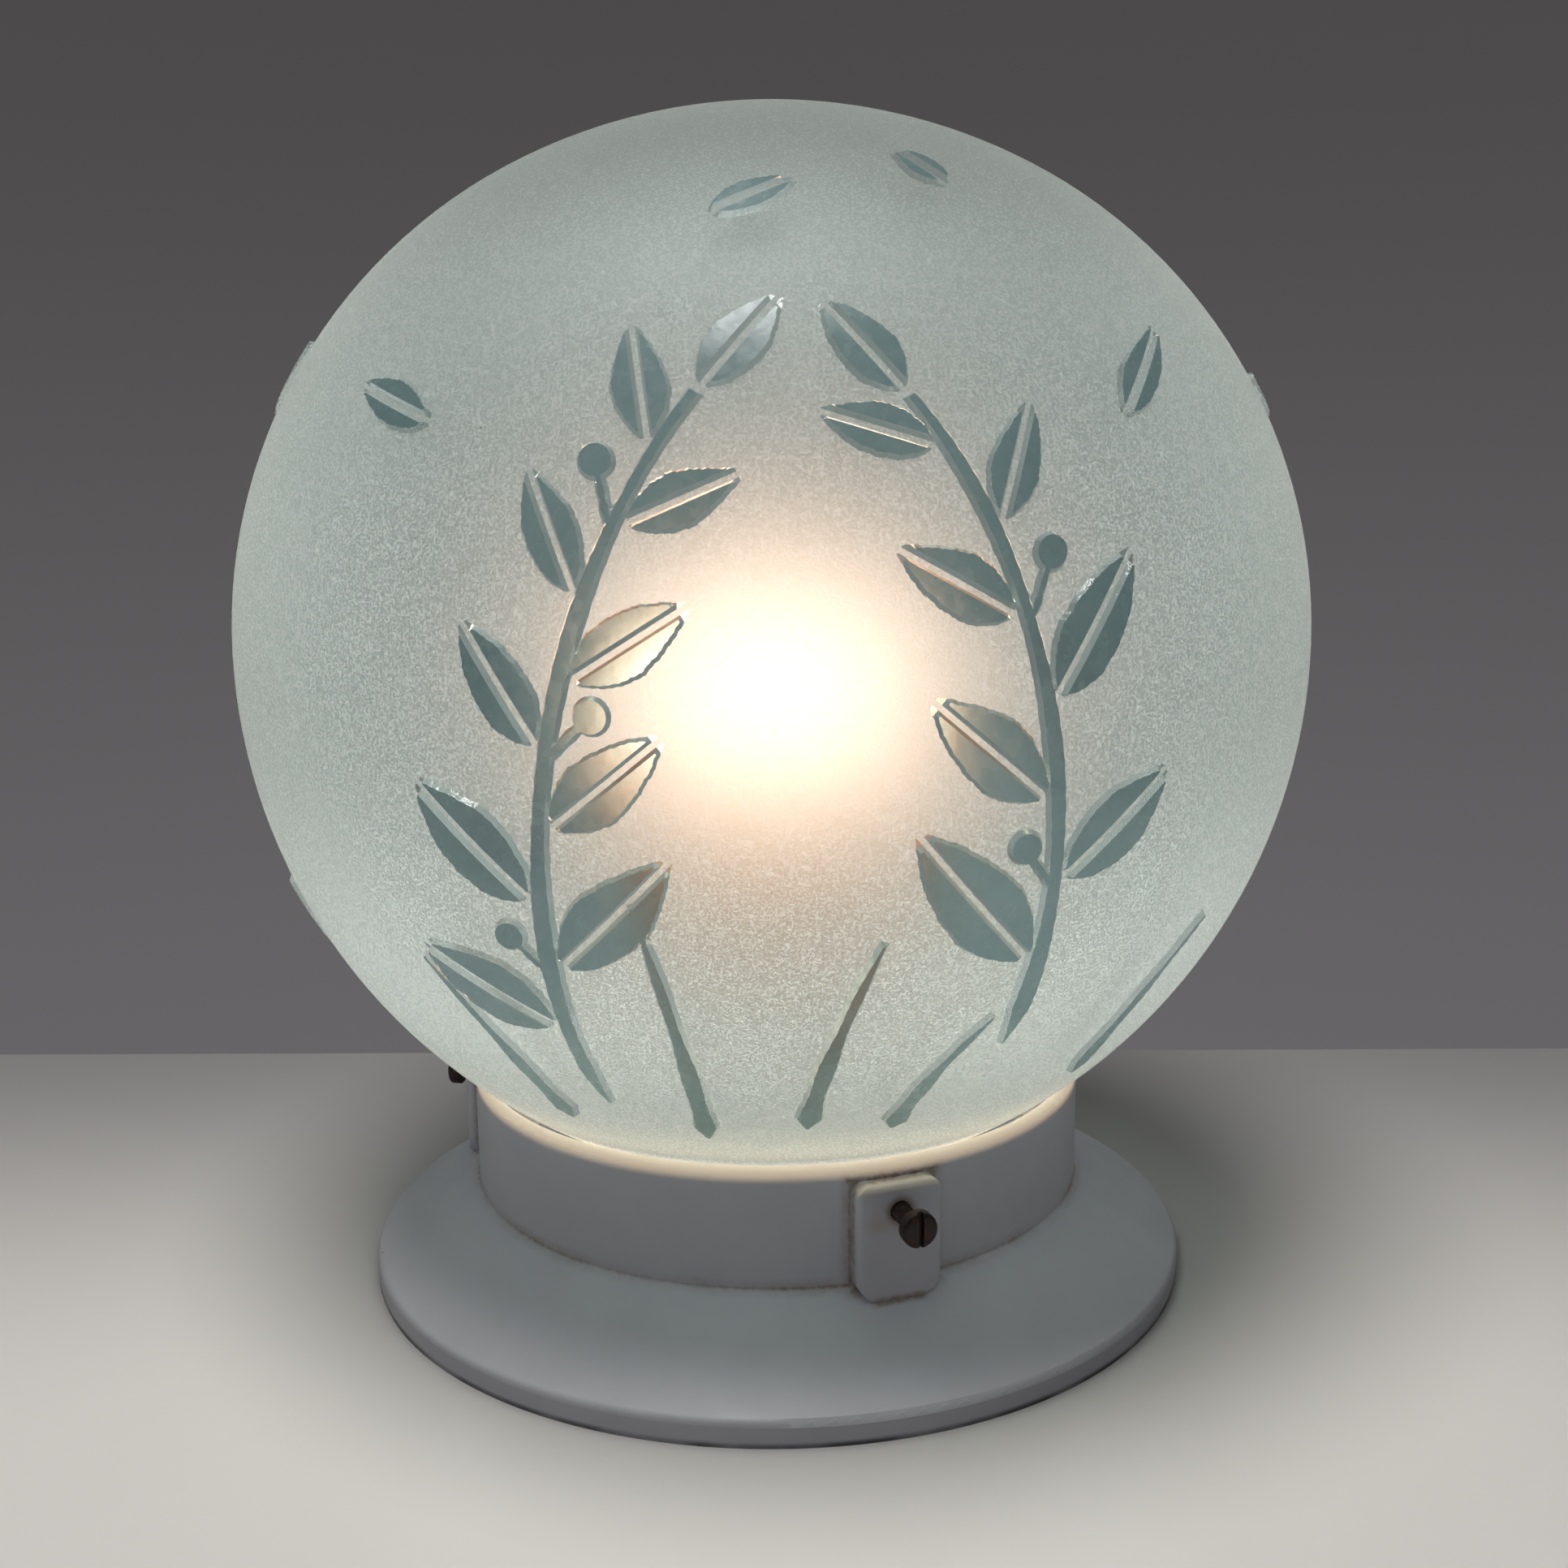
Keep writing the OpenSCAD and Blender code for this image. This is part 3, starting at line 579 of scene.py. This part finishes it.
class Lathe:
    """Vertices and faces of rings about the axis, each joined to the one before it. The outside of a face is
    on the right of the way along the half section."""

    def __init__(self, columns):
        self.columns = columns
        self.verts = []
        self.faces = []
        self.kinds = []
        self.last = None

    def add_ring(self, radius, height):
        """Indices of a new ring, or of one point on the axis."""
        start = len(self.verts)
        if radius < SEAM:
            self.verts.append((0.0, 0.0, height))
            return [start]
        for i in range(self.columns):
            self.verts.append(around(radius, height, 2 * math.pi * i / self.columns))
        return list(range(start, start + self.columns))

    def join(self, a, b, kind=0):
        """Faces between two rings."""
        for i in range(self.columns):
            j = (i + 1) % self.columns
            corners = [a[i % len(a)], a[j % len(a)], b[j % len(b)], b[i % len(b)]]
            self.faces.append(list(dict.fromkeys(corners)))
            self.kinds.append(kind)

    def follow(self, section, kind=0):
        """Rings along a half section, joined to the last ring before it."""
        for radius, height in section:
            ring = self.add_ring(radius, height)
            if self.last is not None:
                self.join(self.last, ring, kind)
            self.last = ring

    def close(self):
        """Joins the last ring to the first."""
        self.join(self.last, list(range(self.columns)))

    def thread(self, pitch, rows, low, high, radius, inside=False):
        """Skin of a thread, in rows that climb with it. radius takes a share of the pitch and a height, and
        gives the same at every share at both ends. An inside skin runs down from high to low."""
        known = {}
        grid = []
        for row in range((math.ceil((high - low) / pitch) + 2) * rows + 1):
            grid.append([])
            for column in range(self.columns):
                z = low + pitch * (row / rows - 1 + column / self.columns)
                z = min(max(z, low), high)
                key = (column, round(z, 5))
                if key not in known:
                    known[key] = len(self.verts)
                    turn = 2 * math.pi * column / self.columns
                    self.verts.append(around(radius(row % rows / rows, z), z, turn))
                grid[row].append(known[key])
        ends = [[known[column, round(z, 5)] for column in range(self.columns)] for z in (low, high)]
        if inside:
            ends.reverse()
        self.join(self.last, ends[0])
        for row in range(len(grid) - rows - 1):
            for column in range(self.columns):
                up, right = (row, column + 1) if column + 1 < self.columns else (row + rows, 0)
                corners = [grid[row][column], grid[up][right], grid[up + 1][right], grid[row + 1][column]]
                corners = list(dict.fromkeys(corners))
                if len(corners) > 2:
                    self.faces.append(corners[::-1] if inside else corners)
                    self.kinds.append(0)
        self.last = ends[1]


def runs_out(z, low, high, length):
    """How much of a thread stands at a height: none at its ends, and all of it past its run-outs."""
    return min(1.0, (z - low) / length, (high - z) / length)


# Fixing screws
def screw_piece(name, body, way, material):
    """A slotted screw along its own axis, with its thread, in the place of its CAD node."""
    way = Vector(way)
    up = Vector((0, 0, 1))
    side = up.cross(way)
    along = [way.dot(v.co) / MM for v in nodes[name].data.vertices]
    tip, top = min(along), max(along)
    seat = top - HEAD_H
    start, stop = tip + SCREW_POINT, seat - SCREW_NECK

    def placed(points):
        return [side * x + up * y + way * z + up * SCREW_Z for x, y, z in points]

    def ridge(share, z):
        tall = RIDGE_RISE * (1 - abs(2 * share - 1)) - RIDGE_CUT
        tall = min(max(tall, 0), 1) * runs_out(z, start, stop, SCREW_RUN_OUT)
        return SCREW_ROOT + (SCREW_R - SCREW_ROOT) * tall

    lathe = Lathe(SCREW_COLUMNS)
    lathe.follow([(0.0, tip), (SCREW_ROOT - SCREW_POINT, tip), (SCREW_ROOT, start)])
    lathe.thread(SCREW_PITCH, SCREW_ROWS, start, stop, ridge)
    edge = (HEAD_R - HEAD_EDGE_R, seat + HEAD_EDGE_R)
    lathe.follow([(SCREW_ROOT, seat), (edge[0], seat), *arc(edge, HEAD_EDGE_R, -60, 0, 3)])
    shoulder = (HEAD_R - HEAD_ROUND_R, top - HEAD_CROWN_H - HEAD_ROUND_R)
    lathe.follow(arc(shoulder, HEAD_ROUND_R, 0, 75, 5))
    lathe.follow([(radius, top - drop) for radius, drop in HEAD_CROWN])
    lathe.verts = placed(lathe.verts)
    piece = make_piece(name + "_turned", lathe, [material], body, name)
    x, y = SLOT_W / 2, 2 * HEAD_R
    outline = ((-x, -y), (x, -y), (x, y), (-x, y))
    cut_box(piece, placed((*p, z) for z in (top - SLOT_H, top + SLOT_PAST_TOP) for p in outline))


# Screw cap of the bulb, and the shell that takes it
def round_thread(middle, depth, low, high):
    """Radius of a round thread of a depth, at a share of its pitch and a height."""

    def radius(share, z):
        return middle + depth / 2 * math.cos(2 * math.pi * share) * runs_out(z, low, high, ROUND_RUN_OUT)

    return radius


def cap_piece(material):
    """Stamped cap with its round thread, a plain skirt round the glass, and a foot round the insulator."""
    low, high = box_mm("bulb_cap")
    crest = high.x
    middle = crest - CAP_DEPTH / 2
    inner = crest - CAP_DEPTH - CAP_THREAD_WALL
    skirt = crest - CAP_WALL
    foot = box_mm("cap_insulator")[1].x + CAP_FOOT_GAP
    start, stop = low.z + CAP_FOOT_H, high.z - CAP_SKIRT_H
    step = stop + CAP_STEP_H
    lathe = Lathe(ROUND_COLUMNS)
    lathe.follow([(skirt, high.z), (skirt, step), (inner, stop)])
    lathe.follow([(inner, start), (foot, start), (foot, low.z)])
    lathe.follow([(middle - back, low.z + rise) for back, rise in CAP_FOOT_EDGE])
    lathe.thread(ROUND_PITCH, ROUND_ROWS, start, stop, round_thread(middle, CAP_DEPTH, start, stop))
    lathe.follow([(crest - CAP_EDGE, step), (crest, step + CAP_BEND_H)])
    lathe.follow([(crest, high.z - CAP_EDGE_H), (crest - CAP_EDGE, high.z)])
    lathe.close()
    make_piece("bulb_cap_threaded", lathe, [material], "bulb_unit", "bulb_cap")


def shell_piece(material):
    """Screw shell with its round thread rolled through the wall, and a floor with a hole for the contact."""
    low, high = box_mm("screw_shell")
    outer = high.x - SHELL_DEPTH / 2
    inner = outer - SHELL_WALL
    floor = low.z + SHELL_FLOOR_T
    start, stop = floor + SHELL_CORNER, high.z - SHELL_MOUTH_H
    inner_thread, outer_thread = (round_thread(r, SHELL_DEPTH, start, stop) for r in (inner, outer))
    lathe = Lathe(ROUND_COLUMNS)
    lathe.follow([(inner + SHELL_EDGE, high.z), (inner, high.z - SHELL_EDGE_H)])
    lathe.thread(ROUND_PITCH, ROUND_ROWS, start, stop, inner_thread, inside=True)
    lathe.follow([(inner - SHELL_CORNER, floor), (SHELL_HOLE_R, floor), (SHELL_HOLE_R, low.z)])
    lathe.follow([(outer - SHELL_FOOT, low.z), (outer, low.z + SHELL_FOOT)])
    lathe.thread(ROUND_PITCH, ROUND_ROWS, start, stop, outer_thread)
    lathe.follow([(outer, high.z - SHELL_EDGE_H), (outer - SHELL_EDGE, high.z)])
    lathe.close()
    make_piece("screw_shell_threaded", lathe, [material], "base_unit", "screw_shell")


# Relief on the globe, drawn in millimetres on the glass: x to the right, y up
SEED = 11
STEM_STEPS = 84
STEM_W = (4.2, 2.4)
BLADE_STEPS = 40
BLADE_W = (4.8, 1.7)
STALK_STEPS = 6
STALK_W = (2.2, 1.9)
STALK_L = (7.0, 9.0)
STALK_TURN = 38
BERRY_R = 3.0
BERRY_ON = 1.6
BERRY_STEPS = 24
STROKE_LEAST = 0.12
# A leaf, with its bare midrib and its width as a share of its length
LEAF_STEPS = 44
LEAF_RIB = 0.9
LEAF_LEAST = 0.15
LEAF_SHAPE = 0.45
LOOSE_SHAPE = 0.44
# Leaves on a stem: where along it they stand, how far they turn from it, and how much is lost at its tip
LEAF_FROM = 0.16
LEAF_SPAN = 0.74
LEAF_ON = 2.4
LEAF_TURN = 52
LEAF_TURN_LOST = 14
LEAF_L = 30
LEAF_L_LOST = 0.40
LEAF_L_SPREAD = (0.92, 1.08)
TIP_LEAF_L = 20
TIP_LEAF_W = 9
TIP_LEAF_ON = 0.8

# Each clump of plants: how far it is turned from the back of the lamp
CLUMPS = (180.0, 300.0, 60.0)
# What grows in a clump: place across and up the glass, lean, curl, length, and number of leaves
SPRIGS = (
    (-26.0, 34.0, -20.0, 56.0, 127.0, 9),
    (38.0, 48.0, 20.0, -58.0, 112.0, 7),
)
BLADES = (
    (-34.0, 26.0, -22.0, -20.0, 46.0),
    (-10.0, 24.0, -4.0, -12.0, 56.0),
    (6.0, 28.0, 6.0, 18.0, 46.0),
    (20.0, 26.0, 14.0, 30.0, 34.0),
    (56.0, 32.0, 26.0, 24.0, 44.0),
)
# Loose leaves above the plants: place, heading and length
LOOSE = (
    (-52.0, 150.0, -70.0, 19.0),
    (-8.0, 188.0, 55.0, 17.0),
    (58.0, 150.0, 35.0, 20.0),
    (30.0, 196.0, -40.0, 15.0),
)


def walk(length, lean, curl, steps):
    """Points and headings along a curved stem that leaves the origin at a lean from straight up."""
    x = y = 0.0
    path = [(x, y, math.radians(lean))]
    for i in range(steps):
        heading = math.radians(lean + curl * (i + 0.5) / steps)
        x += length / steps * math.sin(heading)
        y += length / steps * math.cos(heading)
        path.append((x, y, math.radians(lean + curl * (i + 1) / steps)))
    return path


def ahead(x, y, heading, way):
    """Point some way on along a heading."""
    return x + way * math.sin(heading), y + way * math.cos(heading)


def phase(rng):
    """Where the unevenness of a hand-cut edge starts."""
    return rng.uniform(0, 6)


def stroke(path, widths, start):
    """Outline of a stroke along a path, as a function of how far it is drawn in."""

    def outline(inset):
        left, right = [], []
        for i, (x, y, heading) in enumerate(path):
            share = i / (len(path) - 1)
            half = 0.5 * (widths[0] + (widths[1] - widths[0]) * share)
            # It swells slowly, is a little ragged, and starts narrow
            half *= 1 + 0.10 * math.sin(17 * share + start) + 0.04 * math.sin(2.3 * i + start)
            half *= min(1.0, 0.3 + 9 * share)
            half = max(half - inset, STROKE_LEAST)
            x, y = ahead(x, y, heading, inset * (1 - 2 * share))
            left.append((x - half * math.cos(heading), y + half * math.sin(heading)))
            right.append((x + half * math.cos(heading), y - half * math.sin(heading)))
        return right + left[::-1]

    return outline


def half_leaf(x, y, heading, length, width, side, start):
    """Outline of one half of a leaf, beside its bare midrib."""

    def turned(across, along):
        x_on, y_on = ahead(x, y, heading, along)
        return x_on + across * math.cos(heading), y_on - across * math.sin(heading)

    def outline(inset):
        rib = LEAF_RIB / 2 + inset
        edge = []
        for i in range(LEAF_STEPS + 1):
            share = i / LEAF_STEPS
            # It is widest below its middle, and its edge is a little uneven
            swell = math.sin(math.pi * share ** 0.8) ** 0.85 * width / 2
            swell *= 1 + 0.03 * math.sin(11 * share + start) + 0.012 * math.sin(31 * share + 2 * start)
            swell += 0.09 * math.sin(2.3 * i + 3 * start) + 0.06 * math.sin(5.3 * i + start)
            if swell - inset > rib + LEAF_LEAST:
                edge.append((side * (swell - inset), share * length))
        rib_line = [(side * rib, along) for _, along in edge]
        return [turned(across, along) for across, along in rib_line + edge[::-1]]

    return outline


def leaf(x, y, heading, length, width, rng):
    return [half_leaf(x, y, heading, length, width, side, phase(rng)) for side in (-1, 1)]


def berry(x, y):
    """Outline of a round berry."""

    def outline(inset):
        return arc((x, y), BERRY_R - inset, 0, 360 - 360 / BERRY_STEPS, BERRY_STEPS - 1)

    return outline


def sprig(lean, curl, length, leaves, rng):
    """A stem with leaves on both sides, one at its tip, and berries between them."""
    path = walk(length, lean, curl, STEM_STEPS)
    shapes = [stroke(path, STEM_W, phase(rng))]
    for k in range(leaves):
        share = LEAF_FROM + LEAF_SPAN * k / (leaves - 1)
        x, y, heading = path[round(share * STEM_STEPS)]
        side = 1 if k % 2 else -1
        turn = heading + side * math.radians(LEAF_TURN - LEAF_TURN_LOST * share)
        size = LEAF_L * (1 - LEAF_L_LOST * share) * rng.uniform(*LEAF_L_SPREAD)
        shapes += leaf(*ahead(x, y, turn, LEAF_ON), turn, size, LEAF_SHAPE * size, rng)
        if k % 3 == 1:
            turn = heading - side * math.radians(STALK_TURN)
            stalk = walk(rng.uniform(*STALK_L), math.degrees(turn), 0, STALK_STEPS)
            stalk = [(x + a, y + b, c) for a, b, c in stalk]
            shapes.append(stroke(stalk, STALK_W, phase(rng)))
            shapes.append(berry(*ahead(*stalk[-1][:2], turn, BERRY_ON)))
    x, y, heading = path[-1]
    return shapes + leaf(*ahead(x, y, heading, TIP_LEAF_ON), heading, TIP_LEAF_L, TIP_LEAF_W, rng)


def blade(lean, curl, length, rng):
    """One long blade of grass."""
    return [stroke(walk(length, lean, curl, BLADE_STEPS), BLADE_W, phase(rng))]


def on_globe(way, rise=0.0):
    """Radius and height of a point some way up the globe's face from the neck, lifted off it by rise."""
    for (x, z), radius, start, stop in GLOBE_ARCS:
        length = radius * math.radians(stop - start)
        if way <= length or stop == 90.0:
            turn = math.radians(start) + way / radius
            return x + (radius + rise) * math.cos(turn), z + (radius + rise) * math.sin(turn)
        way -= length


def chart_point(clump, x, way):
    """Point on the chart, whose first axis is the turn, measured on the equator, and second the way up."""
    turn = math.radians(clump) + x / on_globe(way)[0]
    return Vector((turn * GLOBE_R, way))


def relief_shapes():
    """Every relief shape on the globe, as its outline and its drawn-in top, on the chart."""
    rng = random.Random(SEED)
    placed = []
    for clump in CLUMPS:
        found = []
        for x, way, lean, curl, length, leaves in SPRIGS:
            found.append((x, way, sprig(lean, curl, length, leaves, rng)))
        for x, way, lean, curl, length in BLADES:
            found.append((x, way, blade(lean, curl, length, rng)))
        for x, way, heading, length in LOOSE:
            found.append((x, way, leaf(0, 0, math.radians(heading), length, LOOSE_SHAPE * length, rng)))
        for x, way, shapes in found:
            for shape in shapes:
                placed.append(tuple(
                    [chart_point(clump, x + a, way + b) for a, b in shape(inset)]
                    for inset in (0.0, RELIEF_BEVEL)
                ))
    return placed


def turned_left(loop):
    """The loop, run the other way if it goes clockwise."""
    area = sum(a.cross(b) for a, b in zip(loop, loop[1:] + loop[:1]))
    return loop if area > 0 else loop[::-1]


def grid_points(loops):
    """Points of a plain grid over the chart, clear of the relief's outlines."""
    near = KDTree(sum(map(len, loops)))
    for i, point in enumerate(p for loop in loops for p in loop):
        near.insert((point.x, point.y, 0.0), i)
    near.balance()
    points = []
    for row in range(CHART_ROWS + 1):
        way = CHART_LOW + (CHART_HIGH - CHART_LOW) * row / CHART_ROWS
        for column in range(COLUMNS + 1):
            x = 2 * math.pi * GLOBE_R * column / COLUMNS
            on_edge = row in (0, CHART_ROWS) or column in (0, COLUMNS)
            if on_edge or near.find((x, way, 0.0))[2] > GRID_CLEAR:
                points.append(Vector((x, way)))
    return points


def relief_chart():
    """Vertices and triangles of the chart, cut along the relief's outlines, and the triangles' materials."""
    loops = [turned_left(loop) for pair in relief_shapes() for loop in pair]
    points = grid_points(loops)
    polygons = []
    for loop in loops:
        polygons.append(list(range(len(points), len(points) + len(loop))))
        points.extend(loop)
    verts, _, faces, _, _, owners = delaunay_2d_cdt(points, [], polygons, 0, CUT_TOLERANCE)
    kinds = []
    for owner in owners:
        # Each shape has two loops, and the second is its top
        on_top = any(k % 2 for k in owner)
        kinds.append(CLEAR if on_top else EDGE if owner else FROSTED)
    return verts, faces, kinds


# Globe
def globe_inside():
    """Half section of the globe's inside, from the crown down to its mouth."""
    section = []
    for (centre, radius, start, stop), steps in zip(GLOBE_ARCS, ARC_STEPS):
        section += arc(centre, radius - GLASS_T, start, stop, steps)[1 if section else 0:]
    section.reverse()
    section[0] = (0.0, section[0][1])
    section += arc((BLEND_X, BLEND_Z), NECK_BLEND_R + GLASS_T, BELLY_START + 180, 180, BEND_STEPS)[1:]
    mouth = (NECK_R - GLASS_T + MOUTH_R, LIP_Z + MOUTH_R)
    return section + arc(mouth, MOUTH_R, 180, 270, 4)


def globe_neck():
    """Half section of the rolled lip, the groove over it and the bend into the globe's face."""
    lip = (LIP_R - LIP_H / 2, LIP_Z + LIP_H / 2)
    groove = (NECK_R + GROOVE_R, LIP_Z + LIP_H + GROOVE_UP)
    section = arc(lip, LIP_H / 2, -90, 80, 12) + arc(groove, GROOVE_R, 260, 180, 4)
    return section + arc((BLEND_X, BLEND_Z), NECK_BLEND_R, 180, BELLY_START + 180, BEND_STEPS)


def add_face(lathe):
    """Adds the globe's face with its relief, between the last ring and a new last ring below the crown."""
    verts, faces, kinds = relief_chart()
    raised = {i for face, kind in zip(faces, kinds) if kind == CLEAR for i in face}
    width = 2 * math.pi * GLOBE_R
    index, edge = {}, {}
    for i, point in enumerate(verts):
        key = round(point.y, 3)
        # The chart's right edge is its left edge again
        if point.x > width - SEAM and key in edge:
            index[i] = edge[key]
            continue
        index[i] = len(lathe.verts)
        if point.x < SEAM:
            edge[key] = index[i]
        radius, height = on_globe(point.y, RELIEF_RISE if i in raised else 0.0)
        lathe.verts.append(around(radius, height, point.x / GLOBE_R))
    lathe.faces += [[index[i] for i in face] for face in faces]
    lathe.kinds += kinds

    def ring_at(way):
        """The chart's row at a way up, in order round the globe."""
        on_row = [i for i, p in enumerate(verts) if abs(p.y - way) < SEAM and p.x < width - SEAM]
        return [index[i] for i in sorted(on_row, key=lambda i: verts[i].x)]

    lathe.join(lathe.last, ring_at(CHART_LOW), FROSTED)
    lathe.last = ring_at(CHART_HIGH)


def globe_piece(materials):
    """The blown globe as one closed shell: inside, lip, neck, face with its relief, and crown."""
    lathe = Lathe(COLUMNS)
    lathe.follow(globe_inside() + globe_neck(), INNER)
    lathe.follow([on_globe(CHART_LOW * i / FOOT_ROWS) for i in range(1, FOOT_ROWS)], FROSTED)
    add_face(lathe)
    total = sum(radius * math.radians(stop - start) for _, radius, start, stop in GLOBE_ARCS)
    crown = [on_globe(CHART_HIGH + (total - CHART_HIGH) * i / CROWN_ROWS) for i in range(1, CROWN_ROWS)]
    lathe.follow(crown + [(0.0, GLOBE_HIGH.z)], FROSTED)
    make_piece("globe_glass", lathe, materials, "globe_unit", "globe")


# Finishes
def dress(names, material):
    """Gives a material to CAD nodes that keep their own shape."""
    for name in names:
        mesh = nodes[name].data
        mesh.materials.clear()
        mesh.materials.append(material)


steel = rusty_steel()
brass = metal("brass", (0.42, 0.28, 0.10), (0.80, 0.58, 0.26), 0.24)
bronze = metal("bronze", (0.36, 0.19, 0.09), (0.68, 0.42, 0.22), 0.3)
plated = metal("plated_steel", (0.36, 0.35, 0.33), (0.64, 0.64, 0.62), 0.26)
cap_metal = metal("cap_metal", (0.48, 0.47, 0.44), (0.76, 0.75, 0.72), 0.24)
dress(["base"], white_moulding())
for joint in frame["joints"]:
    if joint["name"].endswith("_screw_drive"):
        screw = "fixing_screw_" + joint["name"].removesuffix("_screw_drive")
        screw_piece(screw, joint["child"], joint["axis"], steel)
shell_piece(brass)
dress(["boss_inserts", "shell_rivet", "contact_rivet", "live_terminal", "neutral_terminal"], brass)
dress(["centre_contact"], bronze)
dress(["lampholder_screws", "lampholder_nuts", "terminal_screws", "lead_wires", "filament_supports"], plated)
dress(["lampholder_body"], porcelain())
cap_piece(cap_metal)
dress(["bulb_glass"], lit_bulb())
dress(["cap_insulator"], plain_glass("black_glass", (0.02, 0.02, 0.024), 0.12, 0.0))
dress(["cap_contact"], metal("solder", (0.38, 0.38, 0.37), (0.62, 0.62, 0.6), 0.4))
dress(["bulb_stem"], plain_glass("stem_glass", (0.9, 0.95, 0.93), 0.04, 1.0))
dress(["filament"], hot_tungsten())
globe_piece([frosted_glass(), clear_relief(), inner_glass(), relief_edge()])

# Stage, in millimetres, with the depths between which a painted shade darkens the table top towards its far
# edge
TABLE_HALF_W = 1600.0
TABLE_NEAR = -1600.0
TABLE_FAR = 108.0
TABLE_T = 20.0
TABLE_PAINTED_SHADE = (-80.0, 120.0)


def pale_floor():
    """Pale table top, darkened towards its far edge as a painted shade. It throws back less light than it
    shows, as one in a dim room does.
    """
    n = Material("pale_floor")
    colour = n.mix(n.noise(160.0), rgb(0.86, 0.84, 0.81), rgb(0.82, 0.80, 0.77))
    # Painted shade towards the far edge
    colour = n.mix(n.ramp(n.along("Y"), *TABLE_PAINTED_SHADE, 0.0, 0.85), colour, rgb(0.25, 0.25, 0.26))
    path = n.add("ShaderNodeLightPath", {}).outputs
    seen = n.most(path["Is Camera Ray"], path["Is Glossy Ray"])
    seen = n.most(seen, path["Is Transmission Ray"])
    return n.set(Base_Color=n.mix(seen, rgb(0.24, 0.24, 0.24), colour), Roughness=0.28)


def table_top():
    """Plain pale floor, as a table top that ends behind the lamp."""
    corners = [(x, TABLE_NEAR) for x in (-TABLE_HALF_W, TABLE_HALF_W)]
    corners += [(x, TABLE_FAR) for x in (TABLE_HALF_W, -TABLE_HALF_W)]
    floor = add_mesh("floor", [(x, y, z) for z in (-TABLE_T, 0.0) for x, y in corners], box_faces())
    floor.data.materials.append(pale_floor())


def backdrop():
    """Soft grey surroundings, a little lighter below."""
    world = bpy.data.worlds.new("surroundings")
    world.use_nodes = True
    n = Tree(world.node_tree, "Generated")
    tone = n.mix(n.ramp(n.axis("Z"), -0.45, 0.25), rgb(0.14, 0.135, 0.14), rgb(0.070, 0.066, 0.068))
    n.put(n.tree.nodes["Background"].inputs["Color"], tone)
    bpy.context.scene.world = world


def soft_light(name, place, aim, size, watts, colour):
    """Round lamp, with its place, aim and size in metres."""
    lamp = bpy.data.lights.new(name, "AREA")
    lamp.shape = "DISK"
    lamp.size = size
    lamp.energy = watts
    lamp.color = colour
    holder = bpy.data.objects.new(name, lamp)
    holder.location = place
    holder.rotation_euler = (Vector(aim) - Vector(place)).to_track_quat("-Z", "Y").to_euler()
    bpy.context.scene.collection.objects.link(holder)


# The photograph's view: its size and focal length in pixels, the eye in millimetres, the angles in degrees
PHOTO_SIZE = 1932
FOCAL_PX = 2300
EYE = (5.81, -358.02, 170.24)
PITCH, YAW, ROLL = 11.91, -0.61, -0.44


def photo_camera():
    """Camera at the photograph's viewing angle."""
    pitch, yaw, roll = (math.radians(a) for a in (PITCH, YAW, ROLL))
    forward = Vector((math.sin(yaw) * math.cos(pitch), math.cos(yaw) * math.cos(pitch), -math.sin(pitch)))
    right = forward.cross(Vector((0, 0, 1))).normalized()
    up = right.cross(forward)
    tilted = math.cos(roll) * right + math.sin(roll) * up
    upright = math.cos(roll) * up - math.sin(roll) * right
    camera = bpy.data.cameras.new("camera")
    camera.sensor_width = 36.0
    camera.lens = camera.sensor_width * FOCAL_PX / PHOTO_SIZE
    camera.clip_start = 0.01
    holder = bpy.data.objects.new("camera", camera)
    turn = Matrix((tilted, upright, -forward)).transposed().to_4x4()
    holder.matrix_world = Matrix.Translation(Vector(EYE) * MM) @ turn
    bpy.context.scene.collection.objects.link(holder)
    bpy.context.scene.camera = holder


table_top()
backdrop()
soft_light("overhead", (-0.10, -0.22, 1.3), (-0.10, -0.22, 0.0), 0.55, 11.0, (1.0, 0.98, 0.96))
soft_light("front_fill", (-0.5, -0.9, 0.7), (0.0, 0.0, 0.06), 0.9, 0.2, (0.95, 0.97, 1.0))
photo_camera()
bpy.context.scene.view_settings.view_transform = "Standard"
